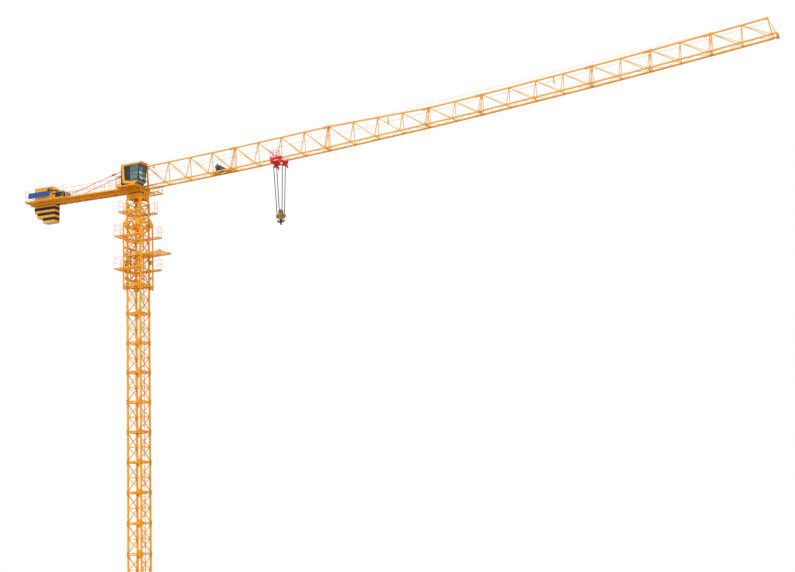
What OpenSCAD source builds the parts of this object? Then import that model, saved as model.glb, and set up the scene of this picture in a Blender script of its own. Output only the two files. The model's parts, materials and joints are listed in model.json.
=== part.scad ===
// Topless tower crane at half scale. The jib points along +X, Z is up, and
// the origin is the centre of the foundation cross's flat underside.

/* [Foundation] */
// Height of the foundation cross
base_h = 300; // [250:5:360]
// Reach of each arm of the cross from the centre, along the diagonal
base_arm = 1450; // [1300:10:1600]
// Width of an arm
base_arm_w = 150; // [120:5:180]
// Side of a foot plate at the end of an arm
foot_side = 320; // [280:5:360]
// Thickness of a foot plate
foot_t = 40; // [30:1:50]
// Diameter of an anchor bolt hole
anchor_d = 36; // [30:1:42]
// Distance between the anchor holes of one foot
anchor_pitch = 220; // [200:5:230]

/* [Mast] */
// Distance between leg centres on one side of the mast
mast_side = 750; // [720:5:780]
// Height of one mast section
section_h = 1452; // [1430:1:1470]
// Number of mast sections
section_n = 14; // [12:1:15]
// Width of a mast leg
leg_w = 75; // [68:1:80]
// Width of the collar where two sections are bolted together
collar_w = 95; // [90:1:104]
// Height of that collar on one section
collar_h = 110; // [90:5:130]
// Width of a diagonal
brace_w = 34; // [28:1:40]
// Width of the ring bars at a section's ends
ring_bar_w = 44; // [38:1:50]
// Width of the ring bars half way up a section
mid_bar_w = 24; // [20:1:28]
// Width of the ladder
ladder_w = 200; // [180:5:220]
// Distance between ladder rungs
rung_pitch = 242; // [230:1:300]

/* [Climbing frame] */
// Distance between leg centres on one side of the climbing frame
climb_side = 1020; // [1000:5:1060]
// Width of a climbing frame leg
climb_leg_w = 56; // [50:1:60]
// How far the climbing frame reaches below the mast top
climb_below = 3176; // [3100:5:3250]
// How far its legs reach above the mast top
climb_above = 214; // [190:1:240]
// Side of the two working platforms round the climbing frame
work_side = 1680; // [1620:10:1740]
// Height of the lower working platform below the mast top
work_low = 2106; // [2060:1:2150]
// Height of the upper working platform below the mast top
work_high = 456; // [420:1:490]
// Reach of the section loading platform from the mast centre
inlet_reach = 1660; // [1600:5:1720]
// Width of the section loading platform
inlet_w = 900; // [840:10:940]
// Height of the section loading platform below the mast top
inlet_drop = 1420; // [1380:1:1460]
// Height of every railing
rail_h = 540; // [500:5:580]
// Width of a railing bar
rail_w = 14; // [12:1:18]

/* [Slewing unit] */
// Height of the tower top section
tower_top_h = 1224; // [1200:1:1250]
// Side of the platform round the tower top section
top_work_side = 1400; // [1340:10:1460]
// Height of that platform above the mast top
top_work_rise = 794; // [780:1:820]
// Height of the slewing support
support_h = 470; // [440:1:500]
// Side of the slewing support
support_side = 800; // [780:1:820]
// Thickness of the plates of the slewing unit
plate_t = 16; // [12:1:20]
// Outer diameter of the slewing ring
ring_d = 760; // [740:1:780]
// Height of the slewing ring
ring_h = 50; // [44:1:60]
// Height of the turntable
table_h = 170; // [150:1:190]
// Side of the turntable
table_side = 820; // [800:1:840]
// Length of the jib root platform
front_l = 740; // [700:5:770]
// Width of the jib root platform
front_w = 520; // [480:5:560]

/* [Tower head] */
// Height of the tower head's top pin above the turntable
head_h = 1190; // [1150:5:1230]
// Width of a tower head leg
head_leg_w = 80; // [70:1:90]

/* [Cab] */
// Length of the cab
cab_l = 1120; // [1080:5:1160]
// How far the cab's roof stands out over the windscreen
visor_l = 100; // [80:5:120]
// Width of the cab
cab_w = 625; // [600:5:640]
// Height of the cab
cab_h = 1067; // [1040:1:1100]
// Height of the cab's underside above the turntable
cab_rise = 33; // [25:1:40]
// Distance from the mast centre to the cab's inner side
cab_off = 475; // [460:5:500]
// Distance from the mast centre back to the cab's rear wall
cab_back = 230; // [210:5:250]
// Thickness of the cab's walls
cab_wall = 30; // [24:1:36]
// Thickness of the cab's glass
glass_t = 8; // [6:1:10]
// Length of the cab platform
cab_deck_l = 1125; // [1090:5:1150]
// Width of the cab platform
cab_deck_w = 740; // [725:5:760]
// Distance from the mast centre back to the cab platform's rear edge
cab_deck_back = 530; // [515:5:545]

/* [Counter-jib] */
// Distance from the mast centre to the counter-jib's rear end
counter_reach = 6560; // [6400:10:6600]
// Rise of the counter-jib towards its rear, in degrees
counter_tilt = 1.1; // [0.9:0.1:1.3]
// Distance between its two girders
girder_pitch = 330; // [320:5:345]
// Depth of a girder
girder_h = 160; // [150:5:170]
// Height of the girders' top above the turntable, at their front end
girder_rise = 92; // [85:1:100]
// Width of a girder's flanges
flange_w = 50; // [44:1:54]
// Thickness of a girder's flanges and web
flange_t = 14; // [12:1:18]
// Width of the walkway deck
walk_w = 860; // [820:10:900]
// Width of the winch platform at the rear
winch_deck_w = 1240; // [1200:10:1280]
// Length of the winch platform
winch_deck_l = 2400; // [2300:10:2500]
// Distance from the mast centre to the stays' lower pins
stay_reach = 4075; // [4000:5:4090]
// Distance between the two stays' lower pins
stay_pitch = 600; // [580:5:620]
// Diameter of a stay
stay_d = 22; // [18:1:26]

/* [Counterweight] */
// Thickness of one counterweight slab
slab_t = 178; // [165:1:180]
// Distance from one slab to the next
slab_pitch = 183; // [182:1:188]
// Width of a slab
slab_w = 424; // [410:1:440]
// Distance between the slabs' rear face and the counter-jib's rear end
slab_back = 279; // [260:1:290]
// How far the four longest slabs hang below the girders
slab_deep = 950; // [900:5:980]
// How much shorter the slabs of the next two sizes are, each time
slab_step = 280; // [260:5:300]

/* [Hoist winch] */
// Diameter of the hoist drum
drum_d = 300; // [280:5:320]
// Length of the hoist drum
drum_l = 420; // [400:5:440]
// Diameter of the drum's flanges
drum_flange_d = 400; // [380:5:420]

/* [Jib] */
// Distance from the mast centre to the jib's root node
root_x = 490; // [480:1:500]
// Tilt of the jib at its root, in degrees
root_tilt = 1.063; // [0.9:0.001:1.2]
// Radius of the jib's camber
camber_r = 409250; // [400000:50:420000]
// Length of one jib panel
panel_l = 1265.8; // [1250:0.1:1280]
// Gap between the last frame of one section and the first of the next
joint_gap = 82.6; // [78:0.1:90]
// Distance between the two lower chords
jib_w = 510; // [490:1:530]
// Depth of the jib in its first two sections
jib_deep = 1087; // [1050:1:1120]
// Depth of the jib from its fourth section on
jib_shallow = 830; // [800:1:860]
// How far a top node lies ahead of the lower node under it
top_lead = 125; // [110:1:140]
// Width of a lower chord
chord_w = 56; // [52:1:60]
// Width of the top chord
top_chord_w = 60; // [54:1:66]
// Width of a web bar
web_w = 24; // [20:1:28]
// Width of the lattice bars between the lower chords
lace_w = 14; // [12:1:18]
// Width of the trolley rail beside a lower chord
rail_flange = 40; // [36:1:44]
// Thickness of the trolley rail
rail_t = 10; // [8:1:12]
// How far the lower chords run on past the last frame
tip_l = 225; // [210:1:240]
// How far the last top node lies behind the last lower node
tip_back = 80; // [70:1:90]

/* [Trolley] */
// Distance from the mast centre to the trolley
trolley_x = 8120; // [8000:10:8400]
// Distance between the trolley's front and rear wheels
wheelbase = 510; // [490:5:530]
// Diameter of a trolley wheel
wheel_d = 90; // [84:1:96]
// Width of a trolley wheel
wheel_w = 26; // [22:1:30]
// Running clearance of a wheel over the rail
wheel_gap = 0.8; // [0.5:0.1:1]
// How far the trolley's side plates reach below its wheel axles
trolley_h = 185; // [175:1:195]

/* [Hook] */
// Distance between the two rope sheaves of the trolley
trolley_sheave_pitch = 482; // [470:2:500]
// Diameter of a trolley sheave, at the rope's centre
trolley_sheave_d = 164; // [156:2:172]
// Depth of the trolley's sheave axles below the lower chords' centre
sheave_drop = 260; // [250:5:275]
// Diameter of a hoist rope
rope_d = 28; // [24:1:30]
// Height of the trolley's sheave axles above those of the hook block
hang_l = 2498; // [2400:2:2600]
// Distance between the two lower sheaves of the hook block
block_sheave_pitch = 316; // [300:2:330]
// Diameter of a hook block sheave, at the rope's centre
block_sheave_d = 140; // [130:2:150]
// Diameter of the rounded corners of the hook block's cheek plates
cheek_d = 230; // [220:2:240]
// Height of the hook block's upper sheave above its lower ones
block_rise = 213; // [200:1:225]
// Inner distance between the cheek plates
cheek_gap = 84; // [80:1:90]
// Diameter of the hook's shank
shank_d = 56; // [50:1:60]
// Mean radius of a horn of the hook
horn_r = 70; // [64:1:76]
// Thickness of a horn
horn_d = 44; // [38:1:48]

/* [Hidden] */

// Clearance between pieces that seat on each other without touching
seat = 0.3;
// Extra length where one bar runs into another
lap = 2;
// Play between a rope and both sides of the groove it runs in
rope_gap = 1.6;

mast_top = base_h + section_n*section_h;
support_z = mast_top + tower_top_h;
ring_z = support_z + support_h;
table_z = ring_z + ring_h;
table_top = table_z + table_h;
root_z = table_top + 72;
cab_z = table_top + cab_rise;
girder_top = table_top + girder_rise;
girder_low = girder_top - girder_h;
walk_t = 10;
winch_deck_t = 40;
winch_z = girder_top + winch_deck_t + seat;
winch_x = -counter_reach + winch_deck_l - 390;
winch_axle_z = winch_z + 230;
walk_front = -cab_deck_back - 20;
slab_n = 7;
slab_front = counter_reach - slab_back - slab_n*slab_pitch;

climb_bottom = mast_top - climb_below;
climb_top = mast_top + climb_above;
work_low_z = mast_top - work_low;
work_high_z = mast_top - work_high;
inlet_z = mast_top - inlet_drop;
top_work_z = mast_top + top_work_rise;

panel_counts = [4, 4, 4, 2, 4, 2, 2, 2];
jib_sections = len(panel_counts);
camber_x = root_x - camber_r*sin(root_tilt);
camber_z = root_z + camber_r*cos(root_tilt);
trolley_tilt = asin((trolley_x - camber_x)/camber_r);
rail_drop = chord_w/2 + rail_t;
wheel_y = jib_w/2 + chord_w/2 + 5 + wheel_w/2;

orange = [0.96, 0.60, 0.12];
navy = [0.10, 0.14, 0.22];
red = [0.82, 0.08, 0.12];
grey = [0.45, 0.46, 0.47];
steel = [0.30, 0.31, 0.32];

// A straight square bar of width w from a to b
module bar(a, b, w) {
    v = b - a;
    l = norm(v);
    translate(a)
        rotate([0, acos(v.z/l), atan2(v.y, v.x)])
            translate([-w/2, -w/2, 0]) cube([w, w, l]);
}

// A straight round bar of diameter d from a to b
module rod(a, b, d, sides = 32) {
    v = b - a;
    l = norm(v);
    translate(a)
        rotate([0, acos(v.z/l), atan2(v.y, v.x)])
            cylinder(h = l, d = d, $fn = sides);
}

// A box given by its lowest and highest corners
module block(low, high) {
    translate(low) cube(high - low);
}

// The four turns about the mast's axis
module four_sides() {
    for (a = [0:90:270]) rotate([0, 0, a]) children();
}

// A railing from a to b with posts at equal distances
module railing(a, b, posts, h = rail_h) {
    up = [0, 0, 1];
    for (i = [0:posts - 1]) {
        p = a + (b - a)*i/(posts - 1);
        translate(p - [rail_w/2, rail_w/2, 0]) cube([rail_w, rail_w, h]);
    }
    for (z = [h - rail_w/2, h/2]) bar(a + up*z, b + up*z, rail_w);
}

// A square walkway ring with edge beams and a railing, its deck top at z = 0
module ring_platform(side, hole, beam_h, posts) {
    deck_t = 10;
    beam_t = 16;
    s = side/2;
    difference() {
        translate([-s, -s, -deck_t]) cube([side, side, deck_t]);
        translate([-hole/2, -hole/2, -deck_t - 1]) cube([hole, hole, deck_t + 2]);
    }
    four_sides() {
        block([-s, -s, -beam_h], [s, -s + beam_t, 0]);
        block([-s, -hole/2 - beam_t, -beam_h], [s, -hole/2, 0]);
        edge = s - rail_w/2;
        railing([-edge, -edge, -lap], [edge, -edge, -lap], posts);
    }
}

// Foundation cross: two crossed box arms with foot plates and a ring of leg stools
module foundation_cross() {
    stool_h = base_h;
    foot_c = (base_arm - foot_side/2)*cos(45);
    color(orange) difference() {
        union() {
            for (a = [45, 135]) rotate([0, 0, a])
                translate([-base_arm, -base_arm_w/2, 0]) cube([2*base_arm, base_arm_w, base_h*0.6]);
            four_sides() {
                translate([-foot_c - foot_side/2, -foot_c - foot_side/2, 0])
                    cube([foot_side, foot_side, foot_t]);
                translate([-mast_side/2 - collar_w/2, -mast_side/2 - collar_w/2, 0])
                    cube([collar_w, collar_w, stool_h]);
                bar([-mast_side/2, -mast_side/2, base_h*0.3], [mast_side/2, -mast_side/2, base_h*0.3],
                    base_arm_w*0.6);
            }
        }
        four_sides() for (k = [-1, 1])
            translate([-foot_c + k*anchor_pitch/2, -foot_c - k*anchor_pitch/2, -1])
                cylinder(h = foot_t + 2, d = anchor_d, $fn = 32);
    }
}

// One mast section: legs, collars, ring bars and a single zigzag on each side
module mast_section() {
    s = mast_side/2;
    h = section_h;
    ring_z0 = ring_bar_w/2 + 12;
    four_sides() {
        translate([-s - leg_w/2, -s - leg_w/2, 0]) cube([leg_w, leg_w, h]);
        for (z = [0, h - collar_h])
            translate([-s - collar_w/2, -s - collar_w/2, z]) cube([collar_w, collar_w, collar_h]);
        for (z = [ring_z0, h - ring_z0]) bar([-s, -s, z], [s, -s, z], ring_bar_w);
        bar([-s, -s, h/2], [s, -s, h/2], mid_bar_w);
        bar([s, -s, ring_z0 + 30], [-s, -s, h/2], brace_w);
        bar([-s, -s, h/2], [s, -s, h - ring_z0 - 30], brace_w);
    }
    // Steps that the climbing yoke pushes on, on the legs of the side away from the jib
    for (y = [-s, s], z = [h/4, 3*h/4])
        block([-s - leg_w/2 - 38, y - 26, z - 40], [-s, y + 26, z + 22]);
}

module mast_sections_odd() {
    color(orange) for (i = [0:2:section_n - 1])
        translate([0, 0, base_h + i*section_h]) mast_section();
}

module mast_sections_even() {
    color(orange) for (i = [1:2:section_n - 1])
        translate([0, 0, base_h + i*section_h]) mast_section();
}

// Ladder inside the mast, one flight to a section, hung on the ring bars of its +Y side
module mast_ladder() {
    y = mast_side/2 - ring_bar_w/2 - 16 - seat;
    rungs = floor((section_h - 80)/rung_pitch);
    color(orange) for (i = [0:section_n - 1]) translate([0, 0, base_h + i*section_h]) {
        for (x = [-ladder_w/2, ladder_w/2])
            block([x - 8, y - 12, 6], [x + 8, y + 16, section_h - 6]);
        for (k = [0:rungs])
            rod([-ladder_w/2, y, 80 + k*rung_pitch], [ladder_w/2, y, 80 + k*rung_pitch], 14, 8);
    }
}

// Climbing frame round the top of the mast, open on the jib's side where a section comes in
module climbing_frame() {
    s = climb_side/2;
    m = mast_side/2;
    corner = s + climb_leg_w/2;
    low = climb_bottom + 195;
    levels = [low, work_low_z - 50, inlet_z + 60, work_high_z - 50, climb_top - 40];
    color(orange) {
        four_sides() {
            translate([-s - climb_leg_w/2, -s - climb_leg_w/2, climb_bottom])
                cube([climb_leg_w, climb_leg_w, climb_top - climb_bottom]);
            // Shoulders that hang the frame on the collars of the tower top section
            translate([-s, -s, mast_top + collar_h + seat]) rotate([0, 0, 45])
                block([-20, -16, 0], [(s - m - leg_w/2)*sqrt(2) - 1, 16, climb_above - collar_h - 20]);
            // Bevelled corner plates at the top of each side
            for (k = [-1, 1]) translate([0, -s + plate_t/2, climb_top]) rotate([90, 0, 0])
                linear_extrude(plate_t) polygon([[k*corner, -400], [k*corner, -110],
                    [k*(corner - 110), 0], [k*(corner - 330), 0], [k*(corner - 330), -300],
                    [k*(corner - 200), -400]]);
            bar([-s, -s, low], [s, -s, low], 70);
            bar([-s, -s, climb_top - 40], [s, -s, climb_top - 40], 50);
            bar([-s, -s, work_low_z - 50], [s, -s, work_low_z - 50], 40);
            bar([-s, -s, work_high_z - 50], [s, -s, work_high_z - 50], 40);
        }
        // Zigzags on the two sides along the jib and on the rear side
        for (a = [0, 180, 270]) rotate([0, 0, a]) for (k = [0:len(levels) - 2]) {
            flip = k % 2 == 0 ? 1 : -1;
            bar([-s*flip, -s, levels[k]], [s*flip, -s, levels[k + 1]], 30);
            if (k == 2) bar([-s, -s, levels[k]], [s, -s, levels[k]], 36);
        }
        // Only the lowest bay is braced on the jib's side
        rotate([0, 0, 90]) bar([-s, -s, levels[0]], [s, -s, levels[1]], 30);
        // Beam that carries the loading platform
        rotate([0, 0, 90]) bar([-s, -s, inlet_z - 40], [s, -s, inlet_z - 40], climb_leg_w);
    }
}

// Climbing ram with its yoke and top beam, on the side away from the jib
module climbing_ram() {
    beam_out = -climb_side/2 + climb_leg_w/2 + seat;
    step_out = -mast_side/2 - leg_w/2 - 38;
    ram_x = step_out + 1.5;
    step_low = base_h + (section_n - 2)*section_h + section_h/4 - 40;
    ram_l = 1500;
    color(grey) {
        rod([ram_x, 0, step_low - 60], [ram_x, 0, step_low + ram_l*0.52], 50);
        rod([ram_x, 0, step_low + ram_l*0.46], [ram_x, 0, step_low + ram_l], 76);
    }
    color(orange) {
        block([ram_x - 31, -mast_side/2 - 40, step_low - seat - 100],
            [ram_x + 31, mast_side/2 + 40, step_low - seat]);
        block([beam_out, beam_out, step_low + ram_l], [step_out - seat, -beam_out, step_low + ram_l + 100]);
    }
}

module working_platform(z) {
    color(orange) translate([0, 0, z])
        ring_platform(work_side, climb_side + climb_leg_w + 2*seat, 60, 4);
}

module working_platform_low() { working_platform(work_low_z); }

module working_platform_high() { working_platform(work_high_z); }

// Loading platform: two rails that carry a new section into the climbing frame
module loading_platform() {
    low = inlet_z - 80;
    color(orange) {
        for (y = [-inlet_w/2 + 30, inlet_w/2 - 30])
            block([climb_side/2 + climb_leg_w/2 + seat, y - 30, low], [inlet_reach, y + 30, low + 80]);
        for (k = [0:5]) {
            x = climb_side/2 + 80 + k*(inlet_reach - climb_side/2 - 110)/5;
            block([x - 22, -inlet_w/2, low + 20], [x + 22, inlet_w/2, low + 60]);
        }
    }
    color(grey) for (y = [-inlet_w/2 + 30, inlet_w/2 - 30])
        rod([inlet_reach - 60, y, low + 70], [work_side/2 - 8, y, work_high_z - 65 - seat], 8, 8);
}

// Tower top section between the mast and the slewing support
module tower_top_section() {
    s = mast_side/2;
    h = tower_top_h;
    color(orange) translate([0, 0, mast_top]) four_sides() {
        translate([-s - leg_w/2, -s - leg_w/2, 0]) cube([leg_w, leg_w, h]);
        translate([-s - collar_w/2, -s - collar_w/2, 0]) cube([collar_w, collar_w, collar_h]);
        for (z = [34, h - 50]) bar([-s, -s, z], [s, -s, z], ring_bar_w);
        bar([-s, -s, h*0.58], [s, -s, h*0.58], ring_bar_w);
        bar([-s, -s, 60], [s, -s, h*0.58], brace_w);
        bar([s, -s, 60], [-s, -s, h*0.58], brace_w);
        bar([-s, -s, h*0.58], [0, -s, h - 50], brace_w);
        bar([s, -s, h*0.58], [0, -s, h - 50], brace_w);
    }
}

module tower_top_platform() {
    color(orange) translate([0, 0, top_work_z])
        ring_platform(top_work_side, mast_side + leg_w + 2*seat, 60, 4);
}

// Slewing support: a square box with arched feet on the four legs and a round top plate
module slewing_support() {
    s = support_side/2;
    arch_r = support_side*0.42;
    color(orange) translate([0, 0, support_z]) difference() {
        union() {
            translate([-s, -s, 0]) cube([support_side, support_side, support_h - plate_t]);
            translate([0, 0, support_h - plate_t]) cylinder(h = plate_t, d = ring_d, $fn = 64);
        }
        translate([-s + plate_t, -s + plate_t, -1])
            cube([support_side - 2*plate_t, support_side - 2*plate_t, support_h - 2*plate_t + 1]);
        // The arch on each side
        for (a = [0, 90]) rotate([0, 0, a])
            translate([0, s + 1, -arch_r*0.45]) rotate([90, 0, 0])
                cylinder(h = support_side + 2, r = arch_r, $fn = 64);
        // Hand holes beside the corner that faces the yard
        four_sides() for (x = [-s*0.62, s*0.62])
            translate([x, -s - 1, support_h*0.66]) rotate([-90, 0, 0])
                cylinder(h = plate_t + 2, d = 70, $fn = 32);
        translate([0, 0, support_h - 3*plate_t]) cylinder(h = 4*plate_t, d = ring_d*0.62, $fn = 64);
    }
}

// Slewing ring: the toothed outer race that stays with the tower
module slewing_ring() {
    teeth = 60;
    color(steel) translate([0, 0, ring_z]) difference() {
        union() {
            cylinder(h = ring_h - seat, d = ring_d - 50, $fn = 96);
            for (i = [0:teeth - 1]) rotate([0, 0, i*360/teeth])
                translate([ring_d/2 - 27, -7, 8]) cube([22, 14, ring_h - 16]);
        }
        translate([0, 0, -1]) cylinder(h = ring_h + 2, d = ring_d*0.62, $fn = 96);
    }
}

// Turntable: plate box that carries the jib, the counter-jib and the cab
module turntable() {
    s = table_side/2;
    color(orange) translate([0, 0, table_z]) {
        difference() {
            translate([-s, -s, 0]) cube([table_side, table_side, table_h]);
            translate([-s + plate_t, -s + plate_t, plate_t])
                cube([table_side - 2*plate_t, table_side - 2*plate_t, table_h - 2*plate_t]);
            translate([0, 0, -1]) cylinder(h = table_h + 2, d = ring_d*0.5, $fn = 64);
        }
        // Lugs for the jib's lower chords, welded to the front wall
        for (m = [-1, 1], k = [-1, 1])
            translate([0, m*(jib_w/2 + k*(chord_w/2 + 8 + seat)), 0])
                block([s - lap, -8, 20], [root_x + (k > 0 ? 30 : 16), 8, table_h + 100]);
        // Lugs for the counter-jib's girders, welded to the rear wall
        for (y = [-girder_pitch/2, girder_pitch/2], k = [-1, 1])
            translate([0, y + k*(flange_t/2 + 5 + seat), 0])
                block([-s - 60, -5, 60], [-s + lap, 5, table_h + 60]);
    }
}

// Slewing drives: two gear motors on the turntable's top plate
module slewing_drives() {
    color(grey) for (y = [-1, 1]) translate([-150, y*240, table_top + seat]) {
        cylinder(h = 60, d = 170, $fn = 32);
        cylinder(h = 300, d = 120, $fn = 32);
        translate([0, 0, 300]) cylinder(h = 40, d = 90, $fn = 32);
    }
}

// Tower head: four legs that meet at the top pins of the jib and of the stays
module tower_head() {
    s = table_side/2 - head_leg_w/2;
    foot = s - 8;
    top = head_h - 60;
    front = root_x + top_lead - 70;
    y1 = 90;
    color(orange) translate([0, 0, table_top + seat]) {
        for (y = [-1, 1]) {
            for (x = [-s, s]) translate([x, y*s, 0])
                block([-head_leg_w/2, -head_leg_w/2, 0], [head_leg_w/2, head_leg_w/2, 20]);
            bar([foot, y*foot, 14], [front - 40, y*y1, top], head_leg_w*0.8);
            bar([-foot, y*foot, 14], [-60, y*y1, top], head_leg_w*0.8);
            bar([-s, y*s, 60], [s, y*s, 60], 50);
            bar([-s*0.78, y*(s*0.78), top*0.42], [s + 20, y*(s*0.66), top*0.42], 44);
            bar([s, y*s, 60], [-s*0.72, y*(s*0.7), top*0.42], 36);
            bar([-60, y*y1, top], [front - 40, y*y1, top], head_leg_w*0.8);
        }
        bar([s, -s, 60], [s, s, 60], 50);
        bar([-s, -s, 60], [-s, s, 60], 50);
        bar([-s*0.78, -s*0.78, top*0.42], [-s*0.78, s*0.78, top*0.42], 40);
        for (x = [-60, front - 40]) bar([x, -y1 - 20, top], [x, y1 + 20, top], head_leg_w);
        // Fork for the jib's top chord
        for (y = [-1, 1]) block([front - 60, y*(top_chord_w/2 + 12) - 8, top - 30],
            [front + 60, y*(top_chord_w/2 + 12) + 8, top + 50]);
        // Lugs for the stays
        for (y = [-1, 1]) block([-160, y*y1 - 8, top - 30], [-50, y*y1 + 8, top + 40]);
    }
}

// Platform in front of the turntable, under the jib's root
module jib_root_platform() {
    x0 = support_side/2*sqrt(2) + 10;
    x1 = x0 + front_l;
    z = table_z - 105;
    y = front_w/2;
    h = root_z - rail_drop - z - 1;
    color(orange) {
        block([x0, -y, z - 10], [x1, y, z]);
        for (k = [-1, 1]) block([x0, k*y - 8, z - 60], [x1, k*y + 8, z]);
        for (x = [x0, x1 - 16]) block([x, -y, z - 60], [x + 16, y, z]);
        railing([x1 - rail_w/2, -y, z - lap], [x1 - rail_w/2, y, z - lap], 3, h);
        for (k = [-1, 1]) {
            railing([x1 - rail_w/2, k*y, z - lap], [x0 + 200, k*y, z - lap], 3, h);
            // Hangers up to the turntable's lugs
            bar([x0 + 20, k*y, z - 30], [x0 + 20, k*y, table_z + 90], 32);
            bar([x0 + 20, k*y, table_z + 80], [table_side/2 + seat, k*y, table_z + 80], 32);
        }
    }
}

// The cab's front edge at height z above its floor, measured from the rear wall
function cab_front(z) = cab_l*(0.915 + 0.085*(z/cab_h - 0.124)/0.848);

// The cab's outline seen from its side, with the origin at its lower rear corner
function cab_outline() = [
    [0, 0], [cab_l*0.71, 0], [cab_front(cab_h*0.124), cab_h*0.124],
    [cab_front(cab_h*0.972), cab_h*0.972], [cab_l, cab_h], [0, cab_h]
];

// The side window's outline, made smaller all round by g
function side_window(g) =
    let(x0 = cab_l*0.49 + g, z0 = cab_h*0.25 + g, z1 = cab_h*0.91 - g)
    [[x0, z0], [cab_front(z0) - 48 - g, z0], [cab_front(z1) - 48 - g, z1], [x0, z1]];

// Moves the cab's side outline to its place, extruded over a width
module cab_slice(y0, y1) {
    translate([-cab_back, y1, cab_z]) rotate([90, 0, 0]) linear_extrude(y1 - y0) children();
}

// Cab shell: a closed box with window openings on the sides and the front, and a visor
module cab_shell() {
    y0 = -cab_off - cab_w;
    y1 = -cab_off;
    z0 = cab_h*0.25;
    z1 = cab_h*0.91;
    color(orange) {
        difference() {
            cab_slice(y0, y1) polygon(cab_outline());
            cab_slice(y0 + cab_wall, y1 - cab_wall)
                offset(delta = -cab_wall) polygon(cab_outline());
            cab_slice(y0 - 1, y1 + 1) polygon(side_window(0));
            // Windscreen
            cab_slice(y0 + cab_wall*1.2, y1 - cab_wall*1.2)
                polygon([[cab_front(z0) - 60, z0], [cab_l*1.2, z0], [cab_l*1.2, z1], [cab_front(z1) - 60, z1]]);
        }
        cab_slice(y0, y1) polygon([[cab_l - 6, cab_h - 30], [cab_l + visor_l, cab_h - 14],
            [cab_l + visor_l, cab_h], [cab_l - 6, cab_h]]);
    }
}

// Cab glazing: two side panes and the windscreen, set in the shell's openings
module cab_glazing() {
    y0 = -cab_off - cab_w;
    y1 = -cab_off;
    z0 = cab_h*0.25 + seat;
    z1 = cab_h*0.91 - seat;
    color("lightblue") {
        for (y = [y0 + 10, y1 - 10 - glass_t]) cab_slice(y, y + glass_t) polygon(side_window(seat));
        cab_slice(y0 + cab_wall*1.2 + seat, y1 - cab_wall*1.2 - seat)
            polygon([[cab_front(z0) - 14, z0], [cab_front(z0) - 14 + glass_t, z0],
                [cab_front(z1) - 14 + glass_t, z1], [cab_front(z1) - 14, z1]]);
    }
}

// Operator's seat with its two armrest consoles
module cab_seat() {
    y = -cab_off - cab_w/2;
    z = cab_z + cab_wall + seat;
    x = -cab_back + cab_l*0.42;
    color(steel) {
        translate([x, y, z]) cylinder(h = 190, d = 90, $fn = 24);
        block([x - 130, y - 120, z + 180], [x + 130, y + 120, z + 240]);
        block([x - 150, y - 110, z + 230], [x - 90, y + 110, z + 600]);
        for (k = [-1, 1]) block([x - 60, y + k*165 - 35, z + 190], [x + 170, y + k*165 + 35, z + 330]);
        block([x - 60, y - 170, z + 190], [x - 20, y + 170, z + 230]);
    }
}

// Cab platform: beams out from the turntable's side, deck, sleepers and rear railing
module cab_platform() {
    x0 = -cab_deck_back;
    x1 = x0 + cab_deck_l;
    y0 = -table_side/2 - cab_deck_w;
    y1 = -table_side/2 - seat;
    z = cab_z - 10;
    color(orange) {
        block([x0, y0, z - 8], [x1, y1, z]);
        for (x = [x0, (x0 + x1)/2 - 10, x1 - 20]) block([x, y0, z - 60], [x + 20, y1, z]);
        for (y = [y0, y0 + 300, y1 - 16]) block([x0, y, z - 60], [x1, y + 16, z]);
        for (x = [-cab_back + 60, -cab_back + cab_l*0.6])
            block([x, -cab_off - cab_w + 20, z - lap], [x + 60, -cab_off - 20, cab_z - seat]);
        railing([x0 + 7, y0 + 7, z - lap], [x0 + 7, y1 - 7, z - lap], 3);
        railing([x0 + 7, y0 + 7, z - lap], [-cab_back - 30, y0 + 7, z - lap], 2);
    }
}

// Puts what belongs to the counter-jib at its pins and tilts it up towards the rear
counter_pin = [-table_side/2 - 20, 0, girder_top];

module counter_place() {
    translate(counter_pin) rotate([0, counter_tilt, 0]) translate(-counter_pin) children();
}

// Where a point of the untilted counter-jib comes to lie
function counter_point(p) =
    let(d = p - counter_pin, c = cos(counter_tilt), s = sin(counter_tilt))
    counter_pin + [d.x*c + d.z*s, d.y, d.z*c - d.x*s];

// Counter-jib girders: two I-beams with cross members and a pin nose at the front
module counter_jib_girders() {
    front = -table_side/2 - 70;
    cross_x = 580;
    cross_pitch = (slab_front - 2*cross_x + 280)/4.5;
    color(orange) counter_place() {
        for (y = [-1, 1]) translate([0, y*girder_pitch/2, 0]) {
            block([-counter_reach, -flange_w/2, girder_top - flange_t], [front, flange_w/2, girder_top]);
            block([-counter_reach, -flange_w/2, girder_low], [front, flange_w/2, girder_low + flange_t]);
            block([-counter_reach, -flange_t/2, girder_low], [front, flange_t/2, girder_top]);
            block([front - lap, -flange_t/2, girder_low + 20], [front + 58, flange_t/2, girder_top - 34]);
        }
        for (x = [-counter_reach + 160, for (k = [0:4]) -cross_x - k*cross_pitch])
            block([x - 30, -girder_pitch/2, girder_low], [x + 30, girder_pitch/2, girder_low + 80]);
        for (k = [0:3]) for (m = [-1, 1])
            bar([-cross_x - k*cross_pitch, -m*girder_pitch/2, girder_low + 30],
                [-cross_x - (k + 1)*cross_pitch, m*girder_pitch/2, girder_low + 30], 20);
    }
}

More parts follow.
